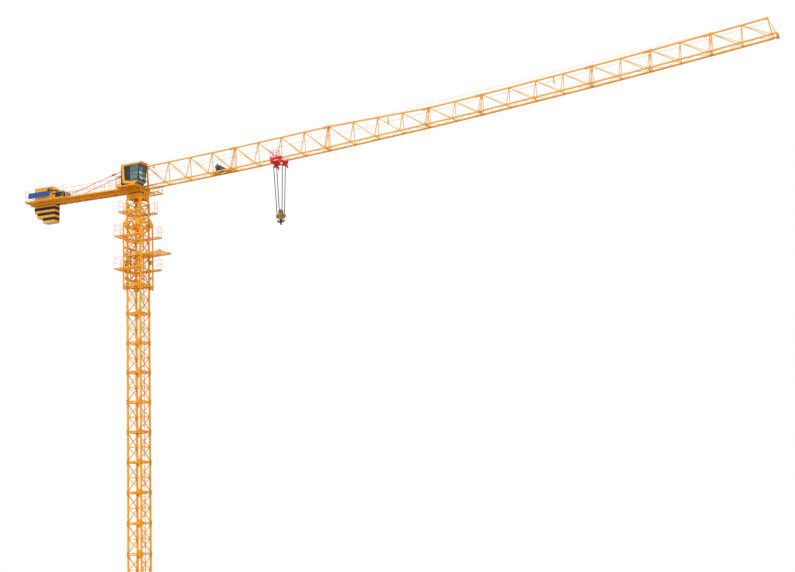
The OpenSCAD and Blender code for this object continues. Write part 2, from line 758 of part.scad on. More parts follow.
// Walkway deck on the counter-jib's girders, with outriggers and the stays' lower lugs
module counter_jib_walkway() {
    x0 = -counter_reach + winch_deck_l;
    y_in = girder_pitch/2 + flange_w/2 + seat;
    color(orange) counter_place() {
        block([x0, -walk_w/2, girder_top + seat], [walk_front, walk_w/2, girder_top + walk_t]);
        for (y = [-walk_w/2, walk_w/2 - 12])
            block([x0, y, girder_top - 20], [walk_front, y + 12, girder_top + 48]);
        for (k = [0:4], m = [-1, 1]) {
            x = x0 + 85 + k*(walk_front - x0 - 285)/4;
            mirror([0, m < 0 ? 1 : 0, 0])
                block([x - 14, y_in, girder_top - 20], [x + 14, walk_w/2, girder_top + walk_t]);
        }
        for (y = [-stay_pitch/2, stay_pitch/2])
            block([-stay_reach - 40, y - 6, girder_top + walk_t - lap], [-stay_reach + 40, y + 6, girder_top + 160]);
    }
}

// Railings on both sides of the walkway and round the winch platform
module counter_jib_railings() {
    x0 = -counter_reach + winch_deck_l;
    y_walk = walk_w/2 - 20;
    y_deck = winch_deck_w/2 - 10;
    z_walk = girder_top + walk_t + seat;
    color(orange) counter_place() {
        for (m = [-1, 1]) {
            railing([x0 + 8, m*y_walk, z_walk], [walk_front - 8, m*y_walk, z_walk], 5);
            railing([-counter_reach + 8, m*y_deck, winch_z], [x0 - 8, m*y_deck, winch_z], 4);
        }
        railing([-counter_reach + 8, -y_deck, winch_z], [-counter_reach + 8, y_deck, winch_z], 3);
    }
}

// Winch platform at the rear, with a row of slots along each side
module winch_deck() {
    x0 = -counter_reach;
    x1 = x0 + winch_deck_l;
    y_in = girder_pitch/2 + flange_w/2 + seat;
    slot_pitch = winch_deck_l/7;
    color(orange) counter_place() {
        difference() {
            block([x0, -winch_deck_w/2, girder_top + seat],
                [x1 - seat, winch_deck_w/2, girder_top + winch_deck_t]);
            for (k = [0:5], m = [-1, 1])
                translate([x0 + slot_pitch*(k + 0.8), m*(winch_deck_w/2 - 70), girder_top - 1])
                    block([-115, -32, 0], [115, 32, winch_deck_t + 2]);
        }
        for (m = [0, 1], f = [0.01, 1/3, 2/3, 0.975]) mirror([0, m, 0])
            block([x0 + winch_deck_l*f, y_in, girder_top - 60],
                [x0 + winch_deck_l*f + 24, winch_deck_w/2, girder_top + lap]);
    }
}

// Counterweight slabs in three lengths, each hung on the girders by a tongue with two ears
module counterweights() {
    steps = [0, 0, 0, 0, 1, 1, 2];
    tongue_y = girder_pitch/2 - flange_w/2 - 2;
    ear_y = girder_pitch/2 - flange_t/2 - 2;
    ear_z = girder_low + flange_t + seat;
    color(navy) counter_place() for (k = [0:slab_n - 1]) {
        x1 = -slab_front - k*slab_pitch;
        x0 = x1 - slab_t;
        block([x0, -slab_w/2, girder_low - slab_deep + steps[k]*slab_step], [x1, slab_w/2, girder_low - 4]);
        block([x0 + 40, -tongue_y, girder_low - 4 - lap], [x1 - 40, tongue_y, ear_z + 40]);
        block([x0 + 40, -ear_y, ear_z], [x1 - 40, ear_y, ear_z + 40]);
    }
}

// Two tie bars from the tower head down to the counter-jib
module counter_jib_stays() {
    color(red) for (y = [-1, 1]) {
        a = [-170, y*90, table_top + head_h - 60];
        b = counter_point([-stay_reach, y*stay_pitch/2, girder_top + 130]);
        u = (b - a)/norm(b - a);
        difference() {
            union() {
                rod(a, b - u*60, stay_d, 16);
                bar(b - u*100, b + u*30, 36);
            }
            // Slot for the lug on the walkway
            block(b + [-80, -6 - seat, -80], b + [46, 6 + seat, 80]);
        }
        rod(a + u*560, a + u*760, stay_d*2.2, 16);
        block(a + [-30, -7, -24], a + [9.5, 7, 24]);
    }
}

// Hoist winch: bearing frame, gearbox and motor
module hoist_winch_frame() {
    frame_y = drum_l/2 + 40;
    color(grey) counter_place() translate([winch_x, 0, winch_z]) {
        for (y = [-frame_y, frame_y - 30]) {
            block([-170, y, 0], [170, y + 30, 90]);
            difference() {
                block([-70, y, 80], [70, y + 30, 290]);
                translate([0, y - 1, winch_axle_z - winch_z]) rotate([-90, 0, 0])
                    cylinder(h = 32, d = 61, $fn = 48);
            }
        }
        for (d = [-150, 150]) block([d - 20, -frame_y, 0], [d + 20, frame_y, 40]);
        translate([-290, -drum_l/2, 120]) rotate([-90, 0, 0]) cylinder(h = 330, d = 190, $fn = 32);
        block([-360, -drum_l/2 + 20, 0], [-220, drum_l/2 - 140, 60]);
        // Foot that ties the motor to the frame
        block([-230, -drum_l/2 + 20, 0], [-160, -drum_l/2 + 80, 40]);
    }
}

// Hoist drum with its flanges and axle
module hoist_drum() {
    color(steel) counter_place() translate([winch_x, 0, winch_axle_z]) rotate([90, 0, 0]) {
        translate([0, 0, -drum_l/2]) cylinder(h = drum_l, d = drum_d, $fn = 64);
        for (z = [-drum_l/2, drum_l/2 - 20]) translate([0, 0, z]) cylinder(h = 20, d = drum_flange_d, $fn = 64);
        translate([0, 0, -drum_l/2 - 45]) cylinder(h = drum_l + 90, d = 60, $fn = 48);
    }
}

// Control cabinet behind the winch, with a roof hipped at its front end
module control_cabinet() {
    x0 = -counter_reach + 310;
    x1 = winch_x - 420;
    color(orange) counter_place() translate([0, 0, winch_z]) {
        rotate([90, 0, 0]) translate([0, 0, -250]) linear_extrude(500)
            polygon([[x0, 60], [x1, 60], [x1, 560], [x1 - 150, 700], [x0, 700]]);
        block([x0 - 20, -270, 700], [x1 - 150, 270, 722]);
        for (x = [x0 + 60, x1 - 120]) block([x, -230, 0], [x + 60, 230, 60 + lap]);
    }
}

// Blank board on the winch platform's near railing
module sign_board() {
    y = -winch_deck_w/2 + 10 - rail_w/2 - seat - 10;
    color([0.09, 0.27, 0.60]) counter_place()
        block([-counter_reach + 210, y, girder_top + 162], [-counter_reach + 1560, y + 10, girder_top + 437]);
}

// A point on the jib: s along the lower chord's arc from the root, h above it
function jib_point(s, y, h) =
    let(a = root_tilt + s/camber_r*180/PI)
    [camber_x + (camber_r - h)*sin(a), y, camber_z - (camber_r - h)*cos(a)];

// Arc length from the root to the first frame of section i
function section_start(i) =
    i == 0 ? 0 : section_start(i - 1) + panel_counts[i - 1]*panel_l + joint_gap;

// Depth of the jib at frame k of section i
function jib_depth(i, k) =
    i < 2 ? jib_deep : i == 2 ? jib_deep + (jib_shallow - jib_deep)*k/panel_counts[i] : jib_shallow;

// Moves a straight section from its own frame to its chord of the camber arc
module jib_place(s0, s1) {
    a = jib_point(s0, 0, 0);
    b = jib_point(s1, 0, 0);
    translate(a) rotate([0, -atan2(b.z - a.z, b.x - a.x), 0]) children();
}

// How far the top node lies ahead of lower node k of section i
function node_lead(i, k) =
    i == jib_sections - 1 && k == panel_counts[i] ? -tip_back : top_lead;

// One jib section: lower chords with trolley rails, top chord, frames, diagonals and lacing
module jib_section(i) {
    n = panel_counts[i];
    first = i == 0;
    last = i == jib_sections - 1;
    lead = first ? 0 : joint_gap/2;
    trail = last ? 0 : joint_gap/2;
    s0 = section_start(i) - lead;
    s1 = section_start(i) + n*panel_l + trail;
    l = s1 - s0;
    butt = 1;
    top_butt = 8;
    y = jib_w/2;
    h0 = jib_depth(i, 0);
    h1 = jib_depth(i, n);
    top_start = first ? top_lead - 20 : top_lead + top_butt;
    top_end = last ? l - tip_back + 20 : l + top_lead - top_butt;
    plate_w = 40;
    plate_l = 110;
    plate_z = top_chord_w/2 - lap;
    color(orange) jib_place(s0, s1) {
        for (k = [-1, 1]) {
            block([butt - (first ? 20 : 0), k*y - chord_w/2, -chord_w/2],
                [last ? l + tip_l - 24 - seat : l - butt, k*y + chord_w/2, chord_w/2]);
            y_rail = k*(y + rail_flange/2);
            block([butt + (first ? 40 : 0), y_rail - rail_flange/2 - 8, -rail_drop],
                [l - butt, y_rail + rail_flange/2 + 8, -chord_w/2]);
        }
        bar([top_start, 0, h0], [top_end, 0, h1], top_chord_w);
        for (k = [0:n]) {
            x = lead + k*panel_l;
            top = [x + node_lead(i, k), 0, jib_depth(i, k)];
            for (side = [-1, 1]) {
                bar([x, side*y, 0], top, web_w);
                if (k < n) bar([x + panel_l, side*y, 0], top, web_w);
            }
            x_cross = first && k == 0 ? x + 60 : x;
            bar([x_cross, -y, 0], [x_cross, y, 0], web_w);
            if (k < n) {
                flip = k % 2 == 0 ? 1 : -1;
                bar([x, -y*flip, 0], [x + panel_l/2, y*flip, 0], lace_w);
                bar([x + panel_l/2, y*flip, 0], [x + panel_l, -y*flip, 0], lace_w);
            }
        }
        // Plates on this section's own chords that reach a little over the joint before it
        if (!first) {
            for (m = [0, 1]) mirror([0, m, 0]) {
                inner = y - chord_w/2;
                block([-24, inner - seat - 8, -20], [24, inner - seat, 20]);
                block([8, inner - seat - 1, -20], [24, inner + lap, 20]);
            }
            block([top_start, -plate_w, h0 + plate_z], [top_lead + plate_l, plate_w, h0 + plate_z + 14]);
        }
        if (!last)
            block([l + top_lead - plate_l, -plate_w, h1 + plate_z], [top_end, plate_w, h1 + plate_z + 14]);
        // Struts from the last top node down to the ends of the lower chords
        if (last) for (side = [-1, 1])
            bar([l - tip_back, 0, h1], [l + tip_l - 50, side*y, 0], web_w*0.8);
    }
}

// Jib tip: cross box on the chord ends with a rope sheave hung behind it
module jib_tip() {
    s0 = section_start(jib_sections - 1) - joint_gap/2;
    s1 = section_start(jib_sections - 1) + panel_counts[jib_sections - 1]*panel_l;
    y = jib_w/2 + chord_w/2;
    box_x = s1 - s0 + tip_l - 24;
    sheave_x = box_x - 21;
    color(orange) jib_place(s0, s1) {
        block([box_x, -y, -chord_w/2], [box_x + 24, y, chord_w/2 + 20]);
        for (k = [-1, 1]) block([sheave_x - 50, k*28 - 5, -120], [box_x + lap, k*28 + 5, 20]);
    }
    color(steel) jib_place(s0, s1) translate([sheave_x, 0, -105])
        rotate([90, 0, 0]) translate([0, 0, -24]) cylinder(h = 48, d = 140, $fn = 48);
}

// Trolley winch between the lower chords
module trolley_winch() {
    winch_s = 4165;
    y = jib_w/2;
    base_z = chord_w/2 + 14;
    jib_s1 = section_start(0) + panel_counts[0]*panel_l + joint_gap/2;
    drum_z = 170;
    color(orange) jib_place(0, jib_s1) translate([winch_s, 0, 0])
        block([-130, -y, chord_w/2 + seat], [775, y, base_z]);
    color(grey) jib_place(0, jib_s1) translate([winch_s, 0, base_z]) {
        for (yy = [-110, 180]) translate([0, yy, -lap]) rotate([90, 0, 0]) linear_extrude(20)
            polygon([[0, 0], [0, 100], [60, 395], [110, 395], [175, 318], [330, 240], [360, 184],
                [455, 98], [455, 0]]);
        translate([150, 170, drum_z]) rotate([90, 0, 0]) cylinder(h = 290, d = 230, $fn = 48);
        translate([150, -125, drum_z]) rotate([90, 0, 0]) cylinder(h = 70, d = 150, $fn = 32);
        block([480, -120, 0], [640, 120, 150]);
    }
}

// Moves a piece from the trolley's own frame, at the lower chords' level, to its place
module trolley_place() {
    a = [camber_x + camber_r*sin(trolley_tilt), 0, camber_z - camber_r*cos(trolley_tilt)];
    translate(a) rotate([0, -trolley_tilt, 0]) children();
}

// Sagitta of the longest straight section under the camber arc
section_sag = pow(4*panel_l + joint_gap, 2)/(8*camber_r);
rail_top = -rail_drop + rail_t + section_sag;
axle_z = rail_top + wheel_gap + wheel_d/2;
axles_z = -sheave_drop;
hang_x = trolley_x + sheave_drop*sin(trolley_tilt);

// Trolley frame: two side plates with wheel brackets, cross beams and sheave cheeks
module trolley_frame() {
    side_y = wheel_y + wheel_w/2 + 14;
    side_l = wheelbase/2 + 50;
    low = axle_z - trolley_h;
    cheek_top = low + 20;
    color(red) trolley_place() {
        for (m = [0, 1]) mirror([0, m, 0]) {
            translate([0, side_y, axle_z]) {
                difference() {
                    block([-side_l, -8, -trolley_h], [side_l, 8, 45]);
                    block([-120, -9, -120], [120, 9, -20]);
                }
                for (x = [-wheelbase/2, wheelbase/2]) block([x - 34, -8, 0], [x + 34, 8, 75]);
            }
            for (x = [-wheelbase/2, wheelbase/2]) translate([x, side_y - wheel_w - 16, axle_z])
                rotate([-90, 0, 0]) cylinder(h = wheel_w + 30, d = 24, $fn = 32);
        }
        for (x = [-side_l + 20, -trolley_sheave_pitch/2 + 60, trolley_sheave_pitch/2 - 60, side_l - 20])
            block([x - 20, -side_y, low], [x + 20, side_y, low + 45]);
        // Cheeks that carry the rope sheaves, each with a horn
        for (x = [-1, 1], k = [-1, 1])
            translate([x*trolley_sheave_pitch/2, k*26, 0]) rotate([90, 0, 0])
                translate([0, 0, -6]) linear_extrude(12)
                    polygon([[-70, cheek_top], [-44, axles_z - 30], [36, axles_z - 30],
                        [100, axles_z + 50], [70, cheek_top]]);
    }
}

// Trolley wheels and the rope sheaves of the trolley
module trolley_wheels() {
    color(steel) trolley_place() {
        for (k = [-1, 1], x = [-wheelbase/2, wheelbase/2])
            translate([x, k*wheel_y, axle_z]) rotate([90, 0, 0]) translate([0, 0, -wheel_w/2]) difference() {
                cylinder(h = wheel_w, d = wheel_d, $fn = 48);
                translate([0, 0, -1]) cylinder(h = wheel_w + 2, d = 24.6, $fn = 32);
            }
        for (x = [-1, 1])
            translate([x*trolley_sheave_pitch/2, 0, axles_z]) rotate([90, 0, 0]) {
                translate([0, 0, -14]) cylinder(h = 28, d = trolley_sheave_d - rope_d - rope_gap, $fn = 48);
                translate([0, 0, -20 + seat]) cylinder(h = 40 - 2*seat, d = 40, $fn = 32);
            }
    }
}

// Maintenance basket at the near side of the trolley
module trolley_basket() {
    y1 = -wheel_y - wheel_w/2 - 22 - seat;
    y0 = y1 - 300;
    x0 = -145;
    x1 = 230;
    z = -235;
    color(red) trolley_place() {
        block([x0, y0, z - 10], [x1, y1, z]);
        for (y = [y0 + 7, y1 - 7]) railing([x0 + 7, y, z - lap], [x1 - 7, y, z - lap], 3);
        for (x = [x0 + 7, x1 - 7]) railing([x, y0 + 7, z - lap], [x, y1 - 7, z - lap], 2);
    }
}

// Height of the hook block's axle
trolley_z = camber_z - camber_r*cos(trolley_tilt);
block_z = trolley_z + axles_z - hang_l;

// Four rope falls from the trolley's two sheaves to the hook block's two lower sheaves
module hoist_ropes() {
    top_z = trolley_z + axles_z;
    color(steel) for (x = [-1, 1], k = [-1, 1])
        rod([hang_x + x*(block_sheave_pitch + k*block_sheave_d)/2, 0, block_z],
            [hang_x + x*(trolley_sheave_pitch + k*trolley_sheave_d)/2, 0, top_z], rope_d, 8);
}

// Cheek plate of the hook block: three rounded corners and a tongue for the crosshead
module cheek_plate(t) {
    rotate([90, 0, 0]) translate([0, 0, -t/2]) linear_extrude(t) {
        for (c = [[-block_sheave_pitch/2, 0], [block_sheave_pitch/2, 0], [0, block_rise]])
            translate(c) circle(d = cheek_d, $fn = 64);
        polygon([[-block_sheave_pitch/2, -70], [-60, -150], [60, -150], [block_sheave_pitch/2, -70],
            [60, block_rise], [-60, block_rise]]);
    }
}

// Hook block: two cheek plates, sheave pins and the crosshead that holds the hook
module hook_block() {
    cheek_t = 12;
    color(orange) translate([hang_x, 0, block_z]) {
        for (k = [-1, 1]) translate([0, k*(cheek_gap + cheek_t)/2, 0]) cheek_plate(cheek_t);
        for (c = [[-block_sheave_pitch/2, 0], [block_sheave_pitch/2, 0], [0, block_rise]])
            translate([c.x, 0, c.y]) rotate([90, 0, 0])
                translate([0, 0, -cheek_gap/2 - cheek_t - 8]) cylinder(h = cheek_gap + 2*cheek_t + 16, d = 40, $fn = 32);
        difference() {
            block([-60, -cheek_gap/2 - lap, -150], [60, cheek_gap/2 + lap, -95]);
            translate([0, 0, -151]) cylinder(h = 57, d = shank_d + 0.1, $fn = 48);
        }
    }
}

// Grooved sheaves of the hook block
module hook_sheaves() {
    color(steel) translate([hang_x, 0, block_z])
        for (c = [[-block_sheave_pitch/2, 0], [block_sheave_pitch/2, 0], [0, block_rise]])
            translate([c.x, 0, c.y]) rotate([90, 0, 0]) difference() {
                union() {
                    translate([0, 0, -16]) cylinder(h = 32, d = block_sheave_d - rope_d - rope_gap, $fn = 64);
                    translate([0, 0, -cheek_gap/2 + seat]) cylinder(h = cheek_gap - 2*seat, d = 64, $fn = 32);
                }
                translate([0, 0, -cheek_gap/2 - 1]) cylinder(h = cheek_gap + 2, d = 40.6, $fn = 32);
            }
}

// Double hook with its shank and nut
module hook() {
    drop = 300;
    color(steel) translate([hang_x, 0, block_z]) {
        translate([0, 0, -drop]) cylinder(h = drop - 95 + 20, d = shank_d, $fn = 48);
        translate([0, 0, -95 + seat]) cylinder(h = 30, d = 70, $fn = 6);
        for (k = [-1, 1]) translate([k*(horn_r + 6), 0, -drop]) rotate([90, 0, 0])
            rotate([0, 0, 180]) rotate_extrude(angle = 180, $fn = 64)
                translate([horn_r, 0]) circle(d = horn_d, $fn = 32);
        translate([0, 0, -drop - 90]) rotate([90, 0, 0]) translate([0, 0, -12])
            cylinder(h = 24, d = 80, $fn = 48);
    }
}

foundation_cross();
mast_sections_odd();
mast_sections_even();
mast_ladder();
climbing_frame();
climbing_ram();
working_platform_low();
working_platform_high();
loading_platform();
tower_top_section();
tower_top_platform();
slewing_support();
slewing_ring();
turntable();
slewing_drives();
tower_head();
jib_root_platform();
cab_shell();
cab_glazing();
cab_seat();
cab_platform();
counter_jib_girders();
counter_jib_walkway();
counter_jib_railings();
winch_deck();
counterweights();
counter_jib_stays();
hoist_winch_frame();
hoist_drum();
control_cabinet();
sign_board();
jib_section(0);  // jib_section_1
jib_section(1);  // jib_section_2
jib_section(2);  // jib_section_3
jib_section(3);  // jib_section_4
jib_section(4);  // jib_section_5
jib_section(5);  // jib_section_6
jib_section(6);  // jib_section_7
jib_section(7);  // jib_section_8
jib_tip();
trolley_winch();
trolley_frame();
trolley_wheels();
trolley_basket();
hoist_ropes();
hook_block();
hook_sheaves();
hook();
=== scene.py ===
"""Looks of the topless tower crane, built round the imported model. Metres, +X along the jib, +Z up."""
import json
import math

import bmesh
import bpy
from mathutils import Matrix, Vector


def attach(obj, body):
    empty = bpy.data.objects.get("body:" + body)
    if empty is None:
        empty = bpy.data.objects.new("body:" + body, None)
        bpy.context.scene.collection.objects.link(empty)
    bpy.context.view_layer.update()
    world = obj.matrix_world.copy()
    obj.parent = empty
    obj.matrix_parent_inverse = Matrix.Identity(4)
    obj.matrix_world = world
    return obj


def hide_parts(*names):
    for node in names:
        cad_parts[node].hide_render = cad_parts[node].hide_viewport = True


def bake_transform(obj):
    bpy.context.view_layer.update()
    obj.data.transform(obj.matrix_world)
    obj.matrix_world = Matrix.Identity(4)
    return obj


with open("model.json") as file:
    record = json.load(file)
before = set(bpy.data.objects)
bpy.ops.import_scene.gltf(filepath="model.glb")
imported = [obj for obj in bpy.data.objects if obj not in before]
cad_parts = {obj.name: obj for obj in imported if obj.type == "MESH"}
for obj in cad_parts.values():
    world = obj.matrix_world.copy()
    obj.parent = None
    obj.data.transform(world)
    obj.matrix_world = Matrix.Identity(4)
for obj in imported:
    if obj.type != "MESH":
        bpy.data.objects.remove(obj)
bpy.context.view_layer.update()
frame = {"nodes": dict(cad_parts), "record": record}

# Photograph's frame and the camera fitted to it
IMAGE_W = 795
FOCAL_PX = 1364.066
SENSOR_MM = 36.0
CAMERA_POS = Vector((38.766, -54.894, 4.083))
CAMERA_AZIMUTH = 24.26
CAMERA_ELEVATION = -11.18
CAMERA_ROLL = -2.42

# Sizes of the CAD model, and of the pieces below that replace its nodes
BASE_H = 0.300
MAST_SIDE = 0.750
SECTION_H = 1.452
SECTION_N = 14
LEG_W = 0.075
COLLAR_W = 0.095
COLLAR_H = 0.110
JOINT_BOLT_X = 0.024
JOINT_SLEEVE_R = 0.013
SLEEVE_INSET = 0.012
FOOT_REACH = 1.450
FOOT_INSET = 0.160
RING_BAR_W = 0.044
BRACE_W = 0.034
CLIMB_SIDE = 1.020
CLIMB_LEG_W = 0.056
CLIMB_BELOW = 3.176
CLIMB_ABOVE = 0.424
CLIMB_BEVEL = 0.200
WORK_SIDE = 1.680
TOP_WORK_SIDE = 1.400
WORK_LOW = 2.106
WORK_HIGH = 0.456
TOP_WORK_RISE = 0.794
INLET_REACH = 1.660
INLET_W = 0.900
INLET_DROP = 1.420
RAIL_H = 0.540
RAIL_W = 0.014
FLOOR_BAR_W = 0.003
FLOOR_BAR_H = 0.004
TOWER_TOP_H = 1.224
SUPPORT_H = 0.470
SUPPORT_SIDE = 0.800
RING_D = 0.760
TABLE_SIDE = 0.820
TABLE_H = 0.170
FRONT_L = 0.740
FRONT_W = 0.520
HEAD_H = 1.190
CAB_L = 1.120
CAB_W = 0.625
CAB_H = 1.067
CAB_OFF = 0.475
CAB_BACK = 0.230
CAB_WALL = 0.030
VISOR_L = 0.100
CAB_DECK_L = 1.125
CAB_DECK_W = 0.740
CAB_DECK_BACK = 0.530
COUNTER_REACH = 6.560
COUNTER_TILT = math.radians(1.1)
GIRDER_PITCH = 0.330
GIRDER_H = 0.160
FLANGE_W = 0.050
WALK_W = 0.860
WALK_T = 0.010
WINCH_DECK_W = 1.240
WINCH_DECK_L = 2.400
WINCH_DECK_T = 0.040
STAY_REACH = 4.075
STAY_PITCH = 0.600
STAY_D = 0.022
STAY_RISE = 0.105
STAY_PIN_RISE = 0.130
STAY_PIN_X = -0.170
COUPLER_R = 0.042
STAY_HEAD_PITCH = 0.420
SLAB_T = 0.178
SLAB_PITCH = 0.183
SLAB_W = 0.424
SLAB_BACK = 0.279
SLAB_DEEP = 0.950
SLAB_STEP = 0.280
SLAB_N = 7
BAND_SHARE = 0.425
SHADED_TOP_STRIP = 0.030
DRUM_D = 0.300
DRUM_L = 0.420
DRUM_FLANGE_D = 0.400
WINCH_AXLE_RISE = 0.230
ROOT_X = 0.490
ROOT_TILT = math.radians(1.063)
CAMBER_R = 409.250
PANEL_L = 1.2658
JOINT_GAP = 0.0826
PANEL_COUNTS = (4, 4, 4, 2, 4, 2, 2, 2)
LAST_SECTION = len(PANEL_COUNTS) - 1
JIB_W = 0.510
JIB_DEEP = 1.087
JIB_SHALLOW = 0.830
TOP_LEAD = 0.125
TIP_L = 0.225
TIP_BACK = 0.080
CHORD_W = 0.056
TOP_CHORD_W = 0.060
WEB_SHOWN = 0.031
RAIL_DROP = 0.038
TROLLEY_X = 8.120
ROPE_RISE = 0.645
LINE_R = 0.0075
SAFETY_LINE_R = 0.0050
TROLLEY_LINE_R = 0.0035
WINCH_LINE_R = 0.004
TROLLEY_LINE_RISE = 0.085
WHEELBASE = 0.510
WHEEL_D = 0.090
WHEEL_W = 0.026
TROLLEY_H = 0.185
TROLLEY_SHEAVE_PITCH = 0.482
TROLLEY_SHEAVE_D = 0.164
SHEAVE_DROP = 0.260
ROPE_D = 0.040
HANG_L = 2.498
BLOCK_SHEAVE_PITCH = 0.256
BLOCK_SHEAVE_D = 0.130
CHEEK_D = 0.230
BLOCK_RISE = 0.213
CHEEK_GAP = 0.084
CHEEK_T = 0.012
SHANK_D = 0.056
HORN_R = 0.084
HORN_D = 0.084

MAST_TOP = BASE_H + SECTION_N * SECTION_H
SUPPORT_Z = MAST_TOP + TOWER_TOP_H
RING_Z = SUPPORT_Z + SUPPORT_H
TABLE_Z = RING_Z + 0.050
TABLE_TOP = TABLE_Z + TABLE_H
ROOT_Z = TABLE_TOP + 0.072
CAB_Z = TABLE_TOP + 0.033
GIRDER_TOP = TABLE_TOP + 0.092
GIRDER_LOW = GIRDER_TOP - GIRDER_H
WINCH_Z = GIRDER_TOP + WINCH_DECK_T
WINCH_X = -COUNTER_REACH + WINCH_DECK_L - 0.390
WALK_FRONT = -CAB_DECK_BACK - 0.020
WALK_REAR = -COUNTER_REACH + WINCH_DECK_L
SLAB_FRONT = COUNTER_REACH - SLAB_BACK - SLAB_N * SLAB_PITCH
CLIMB_TOP = MAST_TOP + CLIMB_ABOVE
CLIMB_BOTTOM = MAST_TOP - CLIMB_BELOW
CLIMB_LEG_TOP = CLIMB_TOP - CLIMB_BEVEL
INLET_Z = MAST_TOP - INLET_DROP
CAMBER_X = ROOT_X - CAMBER_R * math.sin(ROOT_TILT)
CAMBER_Z = ROOT_Z + CAMBER_R * math.cos(ROOT_TILT)
TROLLEY_TILT = math.asin((TROLLEY_X - CAMBER_X) / CAMBER_R)
WHEEL_Y = JIB_W / 2 + CHORD_W / 2 + 0.005 + WHEEL_W / 2
SECTION_SAG = (4 * PANEL_L + JOINT_GAP) ** 2 / (8 * CAMBER_R)
AXLE_Z = -RAIL_DROP + 0.010 + SECTION_SAG + 0.0008 + WHEEL_D / 2
TROLLEY_Z = CAMBER_Z - CAMBER_R * math.cos(TROLLEY_TILT)
HANG_X = TROLLEY_X + SHEAVE_DROP * math.sin(TROLLEY_TILT)
BLOCK_Z = TROLLEY_Z - SHEAVE_DROP - HANG_L
COUNTER_PIN = Vector((-TABLE_SIDE / 2 - 0.020, 0, GIRDER_TOP))
HEAD_PULLEY = Vector((0.30, 0, TABLE_TOP + 0.53))

# Colours as sRGB values from 0 to 1
ORANGE = (0.980, 0.678, 0.100)
# Railing orange: the crane's orange made lighter and yellower, a painted highlight that makes the thin rails
# read as lit
LIT_RAIL_ORANGE = (1.000, 0.740, 0.190)
NAVY = (0.080, 0.115, 0.170)
RED = (0.900, 0.070, 0.150)
GREY = (0.330, 0.345, 0.370)
STEEL = (0.400, 0.405, 0.410)
BLACK = (0.045, 0.045, 0.050)
OCHRE = (0.690, 0.480, 0.130)
BLUE = (0.015, 0.300, 0.560)
CREAM = (0.860, 0.850, 0.800)
CONCRETE = (0.800, 0.730, 0.670)

# Studio: linear colours, lamp strengths, and the floor's half width and height
WHITE = (1.0, 1.0, 1.0, 1.0)
FLOOR_GREY = (0.55, 0.55, 0.55, 1.0)
WORLD_LIGHT = 0.72
KEY_LIGHT = 1.40
FILL_LIGHT = 0.50
FLOOR_HALF = 400.0
FLOOR_Z = -0.002


def linear(rgb, scale=1.0):
    """An sRGB colour as the linear RGBA that a shader takes."""
    values = [c / 12.92 if c <= 0.04045 else ((c + 0.055) / 1.055) ** 2.4 for c in rgb]
    return tuple(v * scale for v in values) + (1.0,)


class Nodes:
    """Short calls for the nodes of one material."""

    def __init__(self, name):
        self.material = bpy.data.materials.new(name)
        self.material.use_nodes = True
        self.tree = self.material.node_tree
        self.shader = self.tree.nodes["Principled BSDF"]
        self.place = self.add("ShaderNodeTexCoord").outputs["Object"]

    def add(self, kind, **inputs):
        node = self.tree.nodes.new(kind)
        for key, value in inputs.items():
            self.set(node, key.replace("_", " "), value)
        return node

    def set(self, node, key, value):
        socket = node.inputs[key]
        if hasattr(value, "is_output"):
            self.tree.links.new(value, socket)
        else:
            socket.default_value = value

    def math(self, operation, a, b=0.0, c=0.0):
        node = self.tree.nodes.new("ShaderNodeMath")
        node.operation = operation
        for i, value in enumerate((a, b, c)):
            self.set(node, i, value)
        return node.outputs[0]

    def axis(self, name):
        """One coordinate of the surface point, in the crane's own frame."""
        return self.add("ShaderNodeSeparateXYZ", Vector=self.place).outputs[name]

    def noise(self, scale, detail=3.0, roughness=0.55, stretch=None):
        """Noise fixed to the crane; stretch scales its three axes."""
        place = self.place
        if stretch:
            place = self.add("ShaderNodeMapping", Vector=place, Scale=stretch).outputs[0]
        node = self.add("ShaderNodeTexNoise", Vector=place, Scale=scale, Detail=detail, Roughness=roughness)
        return node.outputs["Fac"]

    def spread(self, value, low, high, to_low=0.0, to_high=1.0):
        """Maps the range from low to high to another range."""
        node = self.tree.nodes.new("ShaderNodeMapRange")
        self.set(node, 0, value)
        for i, x in enumerate((low, high, to_low, to_high)):
            node.inputs[i + 1].default_value = x
        return node.outputs[0]

    def mix(self, factor, a, b):
        node = self.tree.nodes.new("ShaderNodeMix")
        node.data_type = "RGBA"
        self.set(node, 0, factor)
        self.set(node, 6, a)
        self.set(node, 7, b)
        return node.outputs[2]

    def bump(self, height, strength, distance):
        node = self.add("ShaderNodeBump", Height=height, Strength=strength, Distance=distance)
        self.set(self.shader, "Normal", node.outputs[0])

    def principled(self, **inputs):
        for key, value in inputs.items():
            self.set(self.shader, key.replace("_", " "), value)
        return self.material


def painted(name, rgb, roughness=0.50, dirt=0.26, specular=0.22):
    """Machine paint: soft shade changes, rain streaks of dust and fine orange peel."""
    n = Nodes(name)
    shade = n.spread(n.noise(2.3, 4.0), 0.3, 0.7)
    streak = n.noise(9.0, 5.0, 0.6, stretch=(1.0, 1.0, 0.09))
    grime = n.spread(streak, 0.56, 0.80, 0.0, dirt)
    base = n.mix(shade, linear(rgb, 0.95), linear(rgb, 1.04))
    dusty = tuple(0.70 * c + 0.02 for c in linear(rgb)[:3]) + (1.0,)
    n.set(n.shader, "Base Color", n.mix(grime, base, dusty))
    n.set(n.shader, "Roughness", n.spread(streak, 0.3, 0.75, roughness - 0.07, roughness + 0.12))
    n.bump(n.noise(420.0, 2.0), 0.06, 0.0004)
    return n.principled(Specular_IOR_Level=specular)


